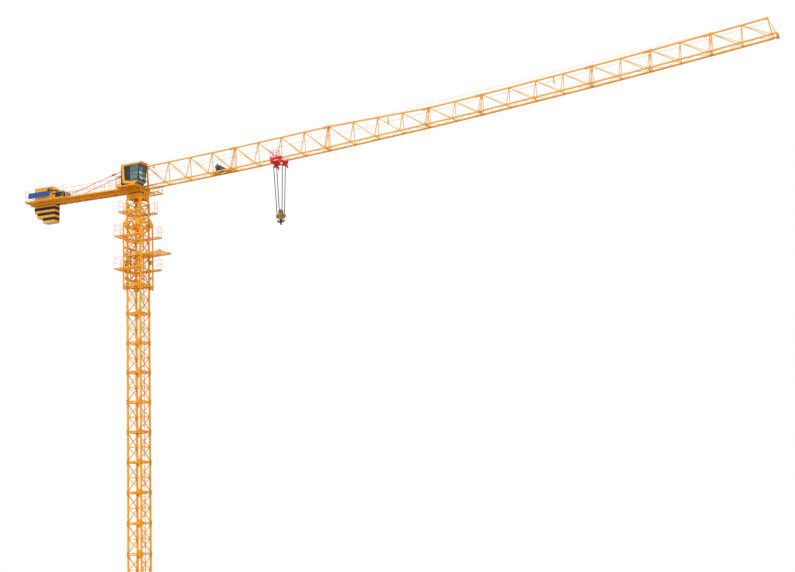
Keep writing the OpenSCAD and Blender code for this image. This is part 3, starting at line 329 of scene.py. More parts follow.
def striped(name):
    """Slab paint: orange bands round a navy slab, level with the counter-jib, over cast concrete; the top
    strip under the girders stays navy as painted shade.
    """
    n = Nodes(name)
    run = n.math("MULTIPLY", n.math("ADD", n.axis("X"), -COUNTER_PIN.x), math.tan(COUNTER_TILT))
    level = n.math("ADD", n.axis("Z"), run)
    low = GIRDER_LOW - SLAB_DEEP
    phase = n.math("FRACT", n.math("DIVIDE", n.math("SUBTRACT", level, low), SLAB_STEP))
    grain = n.math("MULTIPLY", n.noise(26.0, 4.0), 0.010)
    band = n.math("LESS_THAN", n.math("ADD", phase, grain), BAND_SHARE)
    # No orange in the top strip under the girders: navy there is painted shade
    below_shaded_strip = n.math("LESS_THAN", level, GIRDER_LOW - SHADED_TOP_STRIP)
    band = n.math("MULTIPLY", band, below_shaded_strip)
    cloud = n.spread(n.noise(3.0, 5.0), 0.3, 0.7)
    navy = n.mix(cloud, linear(NAVY, 0.85), linear(NAVY, 1.25))
    orange = n.mix(cloud, linear(ORANGE, 0.94), linear(ORANGE, 1.03))
    coat = n.mix(band, navy, orange)
    chips = n.spread(n.noise(38.0, 6.0, 0.7), 0.70, 0.76)
    normal = n.add("ShaderNodeNewGeometry").outputs["Normal"]
    up = n.add("ShaderNodeSeparateXYZ", Vector=normal).outputs["Z"]
    bare = n.math("MAXIMUM", chips, n.math("LESS_THAN", up, -0.5))
    n.set(n.shader, "Base Color", n.mix(bare, coat, linear(CONCRETE)))
    n.bump(n.noise(150.0, 5.0), 0.30, 0.002)
    return n.principled(Roughness=0.62, Specular_IOR_Level=0.25)


def metal(name, rgb, roughness=0.38, metallic=0.9, scale=1.0):
    """Bare or greased steel with brushed grain and darker stains."""
    n = Nodes(name)
    grain = n.noise(60.0 * scale, 6.0, 0.65)
    stain = n.spread(n.noise(5.0 * scale, 4.0), 0.45, 0.75)
    n.set(n.shader, "Base Color", n.mix(stain, linear(rgb, 1.05), linear(rgb, 0.62)))
    n.set(n.shader, "Roughness", n.spread(grain, 0.3, 0.7, roughness - 0.1, roughness + 0.15))
    n.bump(grain, 0.10, 0.0006)
    return n.principled(Metallic=metallic)


def plastic(name, rgb, roughness=0.55, grain=700.0):
    """Moulded plastic or rubber with a fine grain."""
    n = Nodes(name)
    shade = n.noise(14.0, 3.0)
    n.set(n.shader, "Base Color", n.mix(shade, linear(rgb, 0.88), linear(rgb, 1.12)))
    n.set(n.shader, "Roughness", n.spread(shade, 0.3, 0.7, roughness - 0.06, roughness + 0.08))
    n.bump(n.noise(grain, 2.0), 0.12, 0.0005)
    return n.principled(Specular_IOR_Level=0.4)


def pane(name, sill_tint_and_reflection, top_tint_and_reflection, clear, roughness=0.03):
    """Tinted window glass with a painted reflection: its colour runs from the sill colour up to the top
    colour, crossed by soft darker level bands of painted reflection, under a faint film of dust.
    """
    n = Nodes(name)
    film = n.spread(n.noise(6.0, 5.0), 0.35, 0.8, roughness, roughness + 0.08)
    n.set(n.shader, "Roughness", film)
    # Painted reflection: colour that changes with height and darker level bands stand in for reflections on
    # the glass
    rise = n.spread(n.axis("Z"), CAB_Z + CAB_H * 0.20, CAB_Z + CAB_H * 0.90)
    reflection_bands = n.spread(n.noise(1.5, 2.0, 0.5, stretch=(0.25, 0.25, 6.0)), 0.42, 0.60)
    base = n.mix(rise, linear(sill_tint_and_reflection), linear(top_tint_and_reflection))
    n.set(n.shader, "Base Color", n.mix(reflection_bands, linear(tuple(c * 0.72 for c in top_tint_and_reflection)), base))
    return n.principled(Transmission_Weight=clear, IOR=1.3, Specular_IOR_Level=0.6)


def lamp_glass(name, rgb, glow):
    """Ribbed glass that glows a little; on the sun blinds the glow is a painted reflection."""
    n = Nodes(name)
    ribs = n.math("SINE", n.math("MULTIPLY", n.axis("Z"), 900.0))
    n.bump(ribs, 0.25, 0.001)
    return n.principled(Base_Color=linear(rgb), Roughness=0.2, Emission_Color=linear(rgb),
                        Emission_Strength=glow)


def build_materials():
    """Every material of the scene, by the short name that the shapes use."""
    return {
        "orange": painted("crane_orange_paint", ORANGE),
        "deck": painted("deck_orange_paint", (0.930, 0.640, 0.140), roughness=0.62, dirt=0.35),
        # Railings wear the lightened orange as a painted highlight
        "rail": painted("railing_paint_lightened", LIT_RAIL_ORANGE, roughness=0.50, dirt=0.10),
        "navy": painted("navy_paint", NAVY, roughness=0.42, dirt=0.10, specular=0.35),
        "red": painted("red_paint", RED, roughness=0.42, dirt=0.12, specular=0.3),
        "grey": painted("machine_grey_paint", GREY, roughness=0.45, dirt=0.25, specular=0.35),
        "dark": painted("dark_grey_paint", (0.160, 0.165, 0.175), roughness=0.5, dirt=0.2, specular=0.3),
        "cream": painted("pale_grey_paint", CREAM, roughness=0.5, dirt=0.2),
        "ochre": painted("hook_block_paint", OCHRE, roughness=0.5, dirt=0.45),
        # Sun blinds that glow though they are no lamp: a painted reflection behind the windscreen
        "blind": lamp_glass("sun_blind_painted_glare", (0.900, 1.000, 0.990), glow=0.80),
        "fall": painted("rope_fall_grease", (0.150, 0.150, 0.150), roughness=0.60, dirt=0.10),
        "blue": painted("board_blue_paint", BLUE, roughness=0.40, dirt=0.08, specular=0.4),
        "slab": striped("slab_paint"),
        "steel": metal("bare_steel", STEEL),
        "zinc": metal("zinc_bolts", (0.62, 0.62, 0.60), roughness=0.42, metallic=0.75),
        "rope": metal("rope_steel", (0.30, 0.29, 0.28), roughness=0.55, metallic=0.35, scale=3.0),
        "line": painted("rope_line_paint", (1.000, 0.740, 0.280), roughness=0.60, dirt=0.0),
        "black": painted("hook_black_paint", BLACK, roughness=0.42, dirt=0.10, specular=0.4),
        "rubber": plastic("black_rubber", (0.06, 0.06, 0.065), roughness=0.7),
        "seat": plastic("seat_black", (0.09, 0.09, 0.10), roughness=0.75, grain=350.0),
        "glass": pane("cab_side_glass", (0.480, 0.600, 0.610), (0.520, 0.660, 0.670), clear=0.25),
        # The windscreen's near-white lower colour is a painted reflection
        "windscreen": pane("cab_windscreen_painted_reflection", (0.900, 0.980, 0.960), (0.640, 0.760, 0.760), clear=0.75),
        "lamp": lamp_glass("red_lamp_glass", (0.80, 0.03, 0.02), glow=0.25),
        "lens": lamp_glass("headlamp_glass", (0.90, 0.92, 0.92), glow=0.15),
    }


PAINT = build_materials()


def dress_nodes():
    """Gives every CAD node its material."""
    by_slot = {
        "crane_orange": "orange", "machine_grey": "grey", "bare_steel": "steel", "wire_rope": "rope",
        "hook_black": "black", "block_ochre": "ochre", "cab_glass": "glass", "seat_black": "seat",
        "slab_paint": "slab", "signal_red": "red", "board_blue": "blue",
    }
    for part in frame["record"]["subparts"]:
        node = frame["nodes"][part["node"]]
        node.data.materials.clear()
        paint = "rail" if part["node"] == "counter_jib_railings" else by_slot[part["material_slot"]]
        node.data.materials.append(PAINT[paint])


class Shape:
    """Gathers the faces of one piece, then makes it an object that rides on a body."""

    def __init__(self):
        self.points = []
        self.faces = []
        self.paints = []
        self.marks = []
        self.smooth = []
        self.place = Matrix()

    def at(self, place=None):
        """Places what is added next; no argument means the crane's own frame."""
        self.place = place or Matrix()
        return self

    def add(self, points, faces, paint, smooth=False):
        """Adds faces in one paint; a mirrored place turns them round."""
        start = len(self.points)
        self.points.extend(self.place @ Vector(p) for p in points)
        flip = self.place.determinant() < 0
        for face in faces:
            face = tuple(reversed(face)) if flip else face
            self.faces.append(tuple(start + i for i in face))
        if paint not in self.paints:
            self.paints.append(paint)
        self.marks.extend([self.paints.index(paint)] * len(faces))
        self.smooth.extend([smooth] * len(faces))

    def box(self, low, high, paint="orange"):
        """A box between two opposite corners."""
        (x0, y0, z0), (x1, y1, z1) = low, high
        x0, x1 = min(x0, x1), max(x0, x1)
        y0, y1 = min(y0, y1), max(y0, y1)
        z0, z1 = min(z0, z1), max(z0, z1)
        points = [(x, y, z) for z in (z0, z1) for y in (y0, y1) for x in (x0, x1)]
        faces = [(0, 2, 3, 1), (4, 5, 7, 6), (0, 1, 5, 4), (2, 6, 7, 3), (0, 4, 6, 2), (1, 3, 7, 5)]
        self.add(points, faces, paint)

    def post(self, x, y, half_x, half_y, z0, z1, paint="orange"):
        """An upright box round the place x, y."""
        self.box((x - half_x, y - half_y, z0), (x + half_x, y + half_y, z1), paint)

    def rib(self, x, half, low, high, paint="orange"):
        """A box across X at x, between two opposite corners in Y and Z."""
        self.box((x - half, *low), (x + half, *high), paint)

    def tube(self, a, b, radius, paint="orange", sides=10, end_radius=None, smooth=True):
        """A round bar from a to b, closed at both ends."""
        a, b = Vector(a), Vector(b)
        u, v = across(b - a)
        end_radius = radius if end_radius is None else end_radius
        ring = [(math.cos(2 * math.pi * i / sides), math.sin(2 * math.pi * i / sides))
                for i in range(sides)]
        points = [a + radius * (c * u + s * v) for c, s in ring]
        points += [b + end_radius * (c * u + s * v) for c, s in ring]
        walls = [(i, (i + 1) % sides, sides + (i + 1) % sides, sides + i) for i in range(sides)]
        self.add(points, walls, paint, smooth)
        self.add(points, [tuple(reversed(range(sides))), tuple(range(sides, 2 * sides))], paint)

    def pin(self, centre, half, radius, paint="orange", sides=10):
        """A round pin along Y that reaches as far to both sides of its centre."""
        reach = Vector((0, half, 0))
        self.tube(Vector(centre) - reach, Vector(centre) + reach, radius, paint, sides)

    def bar(self, a, b, width, paint="orange", height=None, up=(0, 0, 1)):
        """A straight bar from a to b; height is measured along up."""
        a, b = Vector(a), Vector(b)
        run = (b - a).normalized()
        side = run.cross(Vector(up))
        side = side.normalized() if side.length > 1e-4 else across(run)[0]
        top = side.cross(run)
        side, top = side * width / 2, top * (height or width) / 2
        points = [p + i * side + j * top for p in (a, b) for j in (-1, 1) for i in (-1, 1)]
        faces = [(0, 1, 3, 2), (4, 6, 7, 5), (0, 4, 5, 1), (2, 3, 7, 6), (0, 2, 6, 4), (1, 5, 7, 3)]
        self.add(points, faces, paint)

    def prism(self, outline, y0, y1, paint="orange"):
        """An outline in X and Z, extruded along Y."""
        count = len(outline)
        area = sum(outline[i][0] * outline[(i + 1) % count][1] - outline[(i + 1) % count][0] * outline[i][1]
                   for i in range(count))
        outline = outline if area > 0 else outline[::-1]
        y0, y1 = min(y0, y1), max(y0, y1)
        points = [(x, y, z) for y in (y0, y1) for x, z in outline]
        walls = [(i, i + count, (i + 1) % count + count, (i + 1) % count) for i in range(count)]
        self.add(points, walls + [tuple(range(count)), tuple(reversed(range(count, 2 * count)))], paint)

    def lathe(self, profile, centre, axis, paint="orange", sides=32, smooth=True):
        """A profile of (radius, distance along the axis) points turned round the axis."""
        centre, axis = Vector(centre), Vector(axis).normalized()
        u, v = across(axis)
        points = []
        for radius, along in profile:
            for i in range(sides):
                t = 2 * math.pi * i / sides
                points.append(centre + axis * along + radius * (math.cos(t) * u + math.sin(t) * v))
        faces = []
        for k in range(len(profile) - 1):
            for i in range(sides):
                j = (i + 1) % sides
                faces.append((k * sides + i, k * sides + j, (k + 1) * sides + j, (k + 1) * sides + i))
        self.add(points, faces, paint, smooth)
        last = (len(profile) - 1) * sides
        self.add(points, [tuple(reversed(range(sides))), tuple(range(last, last + sides))], paint)

    def sweep(self, path, radius, paint="rope", sides=8, lobes=0, pitch=0.18):
        """A round bar or a twisted rope along a path of points."""
        path = [Vector(p) for p in path]
        points = []
        length = 0.0
        u = across(path[1] - path[0])[0]
        for i, p in enumerate(path):
            run = (path[min(i + 1, len(path) - 1)] - path[max(i - 1, 0)]).normalized()
            u = (u - run * u.dot(run)).normalized()
            v = run.cross(u)
            if i:
                length += (p - path[i - 1]).length
            for k in range(sides):
                t = 2 * math.pi * k / sides
                r = radius * (1 - 0.13 * (1 - abs(math.cos(lobes * t / 2)))) if lobes else radius
                t += 2 * math.pi * length / pitch if lobes else 0.0
                points.append(p + r * (math.cos(t) * u + math.sin(t) * v))
        faces = []
        for i in range(len(path) - 1):
            for k in range(sides):
                j = (k + 1) % sides
                faces.append((i * sides + k, i * sides + j, (i + 1) * sides + j, (i + 1) * sides + k))
        self.add(points, faces, paint, True)
        last = (len(path) - 1) * sides
        self.add(points, [tuple(reversed(range(sides))), tuple(range(last, last + sides))], paint)

    def bolt(self, foot, axis, width=0.022):
        """A washer with a six-sided nut and a bolt end."""
        foot, axis = Vector(foot), Vector(axis).normalized()
        self.tube(foot, foot + axis * width * 0.12, width * 0.72, "zinc", 10)
        self.tube(foot, foot + axis * width * 0.55, width / 2, "zinc", 6, smooth=False)
        self.tube(foot, foot + axis * width * 0.80, width * 0.27, "zinc", 6)

    def bolt_ring(self, centre, axis, radius, count, width):
        """Bolts on a circle round an axis."""
        u, v = across(Vector(axis))
        for i in range(count):
            t = 2 * math.pi * i / count
            self.bolt(Vector(centre) + radius * (math.cos(t) * u + math.sin(t) * v), axis, width)

    def bars_along_x(self, low, high, z, pitch, depth):
        """Thin parallel floor bars that run along X."""
        for y in spaced(low[1], high[1], pitch):
            self.box((low[0], y - FLOOR_BAR_W / 2, z - depth), (high[0], y + FLOOR_BAR_W / 2, z), "deck")

    def open_floor(self, low, high, z):
        """A floor of thin crossed bars that light and sight pass through."""
        self.bars_along_x(low, high, z, 0.055, FLOOR_BAR_H)
        for x in spaced(low[0], high[0], 0.090):
            self.box((x - FLOOR_BAR_W / 2, low[1], z - FLOOR_BAR_H),
                     (x + FLOOR_BAR_W / 2, high[1], z), "deck")

    def fins(self, centre, y0, y1, radius, count, height):
        """Cooling fins round a motor that lies along Y."""
        for k in range(count):
            t = 2 * math.pi * k / count
            d = Vector((math.cos(t), 0, math.sin(t)))
            self.bar(centre + Vector((0, y0, 0)) + d * radius, centre + Vector((0, y1, 0)) + d * radius,
                     0.004, "grey", height, up=d)

    def rail_frame(self, a, b, height=RAIL_H, radius=0.045, thick=0.0075, paint="rail"):
        """A railing frame of bent tube: two posts, a top rail with round corners and a middle rail."""
        a, b = Vector(a), Vector(b)
        run = (b - a).normalized()
        up = Vector((0, 0, 1))
        path = [a]
        for corner, start in ((a, math.pi), (b, math.pi / 2)):
            side = 1 if corner == a else -1
            centre = corner + run * radius * side + up * (height - radius)
            for k in range(5):
                t = start - math.pi / 2 * k / 4
                path.append(centre + run * radius * math.cos(t) + up * radius * math.sin(t))
        path.append(b)
        self.sweep(path, thick, paint, 6)
        self.sweep([a + up * height * 0.5, b + up * height * 0.5], thick * 0.85, paint, 6)

    def finish(self, name, body, slot, replaces=(), bevel=0.0):
        mesh = bpy.data.meshes.new(name)
        mesh.from_pydata(self.points, [], self.faces)
        for paint in self.paints:
            mesh.materials.append(PAINT[paint])
        mesh.polygons.foreach_set("material_index", self.marks)
        mesh.polygons.foreach_set("use_smooth", self.smooth)
        outward = bmesh.new()
        outward.from_mesh(mesh)
        bmesh.ops.recalc_face_normals(outward, faces=outward.faces)
        outward.to_mesh(mesh)
        outward.free()
        mesh.update()
        piece = bpy.data.objects.new(name, mesh)
        bpy.context.scene.collection.objects.link(piece)
        if bevel:
            rounding = piece.modifiers.new("edges", "BEVEL")
            rounding.width = bevel
            rounding.segments = 2
            rounding.limit_method = "ANGLE"
            rounding.harden_normals = True
        if body:
            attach(piece, body)
        if replaces:
            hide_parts(*replaces)
        return piece


def across(direction):
    """Two unit vectors at right angles to a direction."""
    direction = Vector(direction).normalized()
    helper = Vector((0, 0, 1)) if abs(direction.z) < 0.9 else Vector((1, 0, 0))
    u = helper.cross(direction).normalized()
    return u, direction.cross(u)


def spaced(low, high, pitch):
    """Evenly spaced places from low to high, about a pitch apart."""
    count = max(2, round((high - low) / pitch))
    return [low + (high - low) * i / count for i in range(count + 1)]


def wound_rope(turns, width, radius, start, step):
    """The outline of rope wound on a drum, as (radius, distance along the axis) points."""
    lap = width / turns
    outline = []
    for k in range(turns):
        for a in range(0, 180, step):
            t = math.radians(a)
            outline.append((radius + lap * 0.5 * math.sin(t), start + lap * (k + 0.5 - 0.5 * math.cos(t))))
    return outline


def turned(angle):
    """A turn about the vertical axis."""
    return Matrix.Rotation(angle, 4, "Z")


def lerp(a, b, t):
    """The point at the share t of the way from a to b."""
    return Vector(a) + (Vector(b) - Vector(a)) * t


QUARTERS = [turned(k * math.pi / 2) for k in range(4)]


def counter_place():
    """The counter-jib's own tilt about its pins."""
    tilt = Matrix.Rotation(COUNTER_TILT, 4, "Y")
    return Matrix.Translation(COUNTER_PIN) @ tilt @ Matrix.Translation(-COUNTER_PIN)


def jib_point(s, y=0.0, h=0.0):
    """A point on the jib: s along the lower chord's arc from the root, h above it."""
    a = ROOT_TILT + s / CAMBER_R
    return Vector((CAMBER_X + (CAMBER_R - h) * math.sin(a), y, CAMBER_Z - (CAMBER_R - h) * math.cos(a)))


def section_start(i):
    """Arc length from the jib's root to the first panel of section i."""
    return sum(PANEL_COUNTS[:i]) * PANEL_L + i * JOINT_GAP


def section_lead(i):
    """Length of section i before its first lattice panel."""
    return 0 if i == 0 else JOINT_GAP / 2


def section_span(i):
    """Arc length of the two ends of section i, with its half of each joint gap."""
    trail = 0 if i == LAST_SECTION else JOINT_GAP / 2
    return section_start(i) - section_lead(i), section_start(i) + PANEL_COUNTS[i] * PANEL_L + trail


def section_place(i):
    """From a jib section's own straight frame to its chord of the camber arc."""
    s0, s1 = section_span(i)
    a, b = jib_point(s0), jib_point(s1)
    slope = math.atan2(b.z - a.z, b.x - a.x)
    return Matrix.Translation(a) @ Matrix.Rotation(-slope, 4, "Y")


def jib_depth(i, k):
    """Height of the top chord over the lower ones at the start of panel k of section i."""
    if i < 2:
        return JIB_DEEP
    return JIB_DEEP + (JIB_SHALLOW - JIB_DEEP) * k / PANEL_COUNTS[i] if i == 2 else JIB_SHALLOW


def trolley_place():
    """From the trolley's own frame to its place on the jib's arc."""
    spot = jib_point((TROLLEY_TILT - ROOT_TILT) * CAMBER_R)
    return Matrix.Translation(spot) @ Matrix.Rotation(-TROLLEY_TILT, 4, "Y")


def joint_bolts(s):
    """Where the bolts of a mast joint stand along one face, on both sides of each leg."""
    return [x + dx for x in (-s, s) for dx in (-JOINT_BOLT_X, JOINT_BOLT_X)]


def mast_fittings():
    """Joint bolts, gusset plates, rest platforms and ladder hoops of the mast."""
    s = MAST_SIDE / 2
    plate_t = 0.008
    shape = Shape()
    for i in range(SECTION_N):
        z0 = BASE_H + i * SECTION_H
        for quarter in QUARTERS:
            shape.at(quarter @ Matrix.Translation((0, 0, z0)))
            # Bolt sleeves across the joint below, on the outer face of each collar
            face = -s - COLLAR_W / 2
            for x in joint_bolts(s):
                y = face - JOINT_SLEEVE_R * 0.8
                foot = SLEEVE_INSET if i == 0 else -COLLAR_H + SLEEVE_INSET
                shape.tube((x, y, foot), (x, y, COLLAR_H - SLEEVE_INSET), JOINT_SLEEVE_R, sides=8)
                shape.bolt((x, y, COLLAR_H - 0.014), (0, 0, 1), 0.024)
                if i:
                    shape.bolt((x, y, -COLLAR_H + 0.014), (0, 0, -1), 0.024)
            # Gussets where the diagonals meet the legs
            outer = -s - 0.019
            half = SECTION_H / 2
            shape.prism([(-s + 0.02, half - 0.13), (-s + 0.02, half + 0.13), (-s + 0.10, half + 0.085),
                         (-s + 0.15, half), (-s + 0.10, half - 0.085)], outer - plate_t, outer)
            for z, k in ((0.034, 1), (SECTION_H - 0.034, -1)):
                shape.prism([(s - 0.02, z), (s - 0.02, z + k * 0.17), (s - 0.075, z + k * 0.12),
                             (s - 0.15, z + k * 0.02), (s - 0.15, z)], outer - plate_t, outer)
        shape.at(Matrix.Translation((0, 0, z0)))
        if i % 2 == 1:
            shape.bars_along_x((-0.34, -0.10), (0.34, 0.28), 0.075, 0.045, 0.018)
            for y in (-0.10, 0.28):
                shape.box((-0.352, y - 0.012, 0.035), (0.352, y + 0.012, 0.073))
    shape.finish("mast_fittings", "tower", "crane_orange")

    hoops = Shape()
    y = s - RING_BAR_W / 2 - 0.016
    for i in range(SECTION_N):
        z0 = BASE_H + i * SECTION_H
        for z in (0.30, 0.78, 1.26):
            path = [Vector((0.24 * math.sin(t), y - 0.24 - 0.22 * math.cos(t), z0 + z))
                    for t in (math.radians(a) for a in range(-150, 151, 20))]
            hoops.sweep(path, 0.006, "orange", 6)
        for x, dy in ((-0.24, -0.24), (0.24, -0.24), (0, -0.46)):
            hoops.rib(x, 0.012, (y + dy - 0.003, z0 + 0.28), (y + dy + 0.003, z0 + 1.28))
    hoops.finish("mast_ladder_cage", "tower", "crane_orange")


def ring_platform(node, z, side, hole, posts):
    """A platform round the mast, with edge beams, an open floor and railings, open under the jib."""
    s = side / 2
    inner = hole / 2
    edge = s - RAIL_W / 2
    deep, thick = 0.055, 0.014
    shape = Shape().at(Matrix.Translation((0, 0, z)))
    for low, high in (((-s, -s), (s, -inner)), ((-s, inner), (s, s)), ((-s, -inner), (-inner, inner))):
        shape.open_floor(low, high, -0.004)
        (x0, y0), (x1, y1) = low, high
        for k in range(1, 4):
            x, y = x0 + (x1 - x0) * k / 4, y0 + (y1 - y0) * k / 4
            if x1 - x0 > y1 - y0:
                shape.rib(x, 0.006, (y0, -0.038), (y1, -0.008), "deck")
            else:
                shape.box((x0, y - 0.006, -0.038), (x1, y + 0.006, -0.008), "deck")
    for quarter in (QUARTERS[0], QUARTERS[2], QUARTERS[3]):
        shape.at(Matrix.Translation((0, 0, z)) @ quarter)
        shape.box((-s, -s, -deep), (s, -s + thick, 0.002))
        shape.box((-s, -inner - 0.010, -0.045), (s, -inner, 0.002))
        pitch = 2 * edge / (posts - 1)
        for k in range(posts - 1):
            x = -edge + pitch * k
            shape.rail_frame((x + 0.012, -edge, 0), (x + pitch - 0.012, -edge, 0))
            for foot in (x + 0.012, x + pitch - 0.012):
                shape.rib(foot, 0.012, (-s - 0.002, -0.030), (-edge + 0.010, 0.020))
    # End beam and railing of the two decks beside the open side
    for m in (-1, 1):
        shape.at(Matrix.Translation((0, 0, z)))
        shape.box((s - thick, m * inner, -deep), (s, m * s, 0.002))
        shape.rail_frame((edge, m * (inner + 0.030), 0), (edge, m * (edge - 0.010), 0))
    shape.finish(node + "_open", "tower", "crane_orange", replaces=(node,))


def climbing_frame():
    """The climbing frame: legs, rings, zigzags, shoulders on the collars, and bevelled plates at its top."""
    shape = Shape()
    s = CLIMB_SIDE / 2
    half = CLIMB_LEG_W / 2
    corner = s + half
    low = CLIMB_BOTTOM + 0.195
    levels = (low, MAST_TOP - WORK_LOW - 0.050, INLET_Z + 0.060, MAST_TOP - WORK_HIGH - 0.050,
              CLIMB_LEG_TOP - 0.050)
    widths = (0.070, 0.040, 0.036, 0.040, 0.040)
    for number, quarter in enumerate(QUARTERS):
        shape.at(quarter)
        under_jib = number == 1
        shape.box((-s - half, -s - half, CLIMB_BOTTOM), (-s + half, -s + half, CLIMB_LEG_TOP))
        for z, width in zip(levels, widths):
            if not (under_jib and width == 0.036):
                shape.bar((-s, -s, z), (s, -s, z), width)
        shape.bar((CLIMB_BEVEL - s, -s, CLIMB_TOP - 0.030), (s - CLIMB_BEVEL, -s, CLIMB_TOP - 0.030), 0.050)
        if under_jib:
            # Only the lowest bay is braced on the jib's side, which has the beam of the loading platform
            shape.bar((-s, -s, levels[0]), (s, -s, levels[1]), 0.030)
            shape.bar((-s, -s, INLET_Z - 0.040), (s, -s, INLET_Z - 0.040), CLIMB_LEG_W)
        else:
            for k in range(4):
                flip = 1 if k % 2 == 0 else -1
                shape.bar((-s * flip, -s, levels[k]), (s * flip, -s, levels[k + 1]), 0.030)
        for k in (-1, 1):
            shape.at(quarter @ Matrix.Translation((0, 0, CLIMB_TOP)))
            inner = corner - CLIMB_BEVEL
            shape.prism([(k * corner, -CLIMB_BEVEL - 0.200), (k * corner, -CLIMB_BEVEL), (k * inner, 0),
                         (k * (inner - 0.110), 0), (k * (inner - 0.110), -CLIMB_BEVEL - 0.060),
                         (k * (inner - 0.020), -CLIMB_BEVEL - 0.200)], -s - 0.008, -s + 0.008)
        shape.at(quarter @ Matrix.Translation((-s, -s, MAST_TOP + COLLAR_H)) @ turned(math.radians(45)))
        reach = (s - MAST_SIDE / 2 - LEG_W / 2) * math.sqrt(2)
        shape.box((-0.020, -0.016, 0), (reach - 0.001, 0.016, 0.084))
    shape.finish("climbing_frame_shown", "tower", "crane_orange", replaces=("climbing_frame",))


def climbing_fittings():
    """Guide rollers, loading rails, pump unit, hoses and ram of the climbing frame."""
    shape = Shape()
    leg = MAST_SIDE / 2 + LEG_W / 2
    s = CLIMB_SIDE / 2
    levels = (CLIMB_BOTTOM + 0.10, CLIMB_BOTTOM + 0.62, MAST_TOP - WORK_LOW + 0.30, INLET_Z - 0.30)
    for quarter in QUARTERS:
        for z in levels:
            for x in (-1, 1):
                shape.at(quarter @ Matrix.Translation((x * MAST_SIDE / 2, 0, z)))
                shape.box((-0.030, -s + 0.028, -0.050), (-0.022, -leg - 0.022, 0.050))
                shape.box((0.022, -s + 0.028, -0.050), (0.030, -leg - 0.022, 0.050))
                shape.box((-0.040, -s - 0.010, -0.060), (0.040, -s + 0.034, 0.060))
                shape.tube((-0.034, -leg - 0.035, 0), (0.034, -leg - 0.035, 0), 0.008, "zinc", 8)
                shape.tube((-0.020, -leg - 0.035, 0), (0.020, -leg - 0.035, 0), 0.034, "steel", 16)
    # Rails that carry a new section through the frame
    shape.at()
    for y in (-0.455, 0.455):
        shape.box((-s + 0.03, y - 0.016, INLET_Z - 0.080),
                  (s + CLIMB_LEG_W / 2, y + 0.016, INLET_Z - 0.012))
    shape.finish("climbing_fittings", "tower", "crane_orange")

    pump = Shape()
    z = MAST_TOP - WORK_LOW
    x = -WORK_SIDE / 2 + 0.05
    pump.box((x, -0.16, z + 0.004), (x + 0.20, 0.16, z + 0.20), "orange")
    pump.box((x + 0.02, -0.12, z + 0.20), (x + 0.18, 0.04, z + 0.215), "grey")
    pump.lathe([(0.045, 0), (0.055, 0.01), (0.055, 0.14), (0.045, 0.15)], (x + 0.10, -0.05, z + 0.21),
               (0, 0, 1), "grey", 20)
    for k in range(7):
        pump.lathe([(0.060, 0), (0.060, 0.006)], (x + 0.10, -0.05, z + 0.225 + k * 0.018),
                   (0, 0, 1), "grey", 20)
    pump.tube((x + 0.06, 0.09, z + 0.20), (x + 0.06, 0.09, z + 0.27), 0.022, "dark", 12)
    for dy, top in ((-0.030, 0.70), (0.030, 0.95)):
        start = Vector((x + 0.14, 0.10 + dy * 0.5, z + 0.19))
        end = Vector((-0.492, dy, z + top))
        path = []
        for k in range(17):
            t = k / 16
            p = lerp(start, end, t)
            p.z += 0.22 * math.sin(math.pi * t) * (1 - t) - 0.05 * math.sin(2 * math.pi * t)
            path.append(p)
        pump.sweep(path, 0.008, "rubber", 8)
    pump.finish("climbing_pump", "tower", "machine_grey", bevel=0.002)

    # The ram between its yoke on the mast's steps and the frame's beam
    ram = Shape()
    axis_x = -MAST_SIDE / 2 - LEG_W / 2 - 0.0365
    beam_out = -CLIMB_SIDE / 2 + CLIMB_LEG_W / 2
    step_low = BASE_H + (SECTION_N - 2) * SECTION_H + SECTION_H / 4 - 0.040
    ram_l = 1.500
    ram.tube((axis_x, 0, step_low - 0.060), (axis_x, 0, step_low + ram_l * 0.52), 0.025, "zinc", 24)
    ram.tube((axis_x, 0, step_low + ram_l * 0.46), (axis_x, 0, step_low + ram_l), 0.038, "grey", 28)
    ram.rib(axis_x, 0.031, (-MAST_SIDE / 2 - 0.040, step_low - 0.100), (MAST_SIDE / 2 + 0.040, step_low))
    ram.box((beam_out, beam_out, step_low + ram_l), (axis_x - 0.0018, -beam_out, step_low + ram_l + 0.100))
    for z, r in ((step_low + 0.69, 0.044), (step_low + 0.74, 0.042), (step_low + 1.46, 0.044)):
        ram.lathe([(0.038, 0), (r, 0.004), (r, 0.026), (0.038, 0.030)], (axis_x, 0, z),
                  (0, 0, 1), "grey", 24)
    for z in (step_low + 0.80, step_low + 1.38):
        ram.tube((axis_x - 0.030, 0.026, z), (axis_x - 0.052, 0.040, z), 0.010, "zinc", 8)
    ram.finish("climbing_ram_shown", "tower", "machine_grey", replaces=("climbing_ram",))


def loading_platform_details():
    """Floor bars, edge strips and rollers of the section loading platform."""
    shape = Shape()
    x0 = CLIMB_SIDE / 2 + CLIMB_LEG_W / 2 + 0.02
    z = INLET_Z - 0.080
    for y in (-INLET_W / 2 + 0.030, INLET_W / 2 - 0.030):
        shape.box((x0, y - 0.034, z + 0.072), (INLET_REACH - 0.004, y + 0.034, z + 0.079))
        shape.box((x0, y - 0.034, z + 0.001), (INLET_REACH - 0.004, y + 0.034, z + 0.008))
        for k in range(9):
            x = x0 + 0.06 + k * (INLET_REACH - x0 - 0.10) / 8
            shape.post(x, y, 0.004, 0.034, z + 0.002, z + 0.078)
        shape.pin((INLET_REACH - 0.10, y, z + 0.10), 0.05, 0.022, "steel", 14)
    for k in range(6):
        x = CLIMB_SIDE / 2 + 0.08 + k * (INLET_REACH - CLIMB_SIDE / 2 - 0.11) / 5
        shape.rib(x, 0.027, (-INLET_W / 2, z + 0.056), (INLET_W / 2, z + 0.062))
    for m in (-1, 1):
        shape.bar((x0 + 0.10, m * 0.39, z + 0.02), (x0 + 0.55, m * 0.02, z + 0.02), 0.016)
        shape.bar((x0 + 0.55, m * 0.02, z + 0.02), (INLET_REACH - 0.08, m * 0.39, z + 0.02), 0.016)
    shape.finish("loading_platform_details", "tower", "crane_orange")


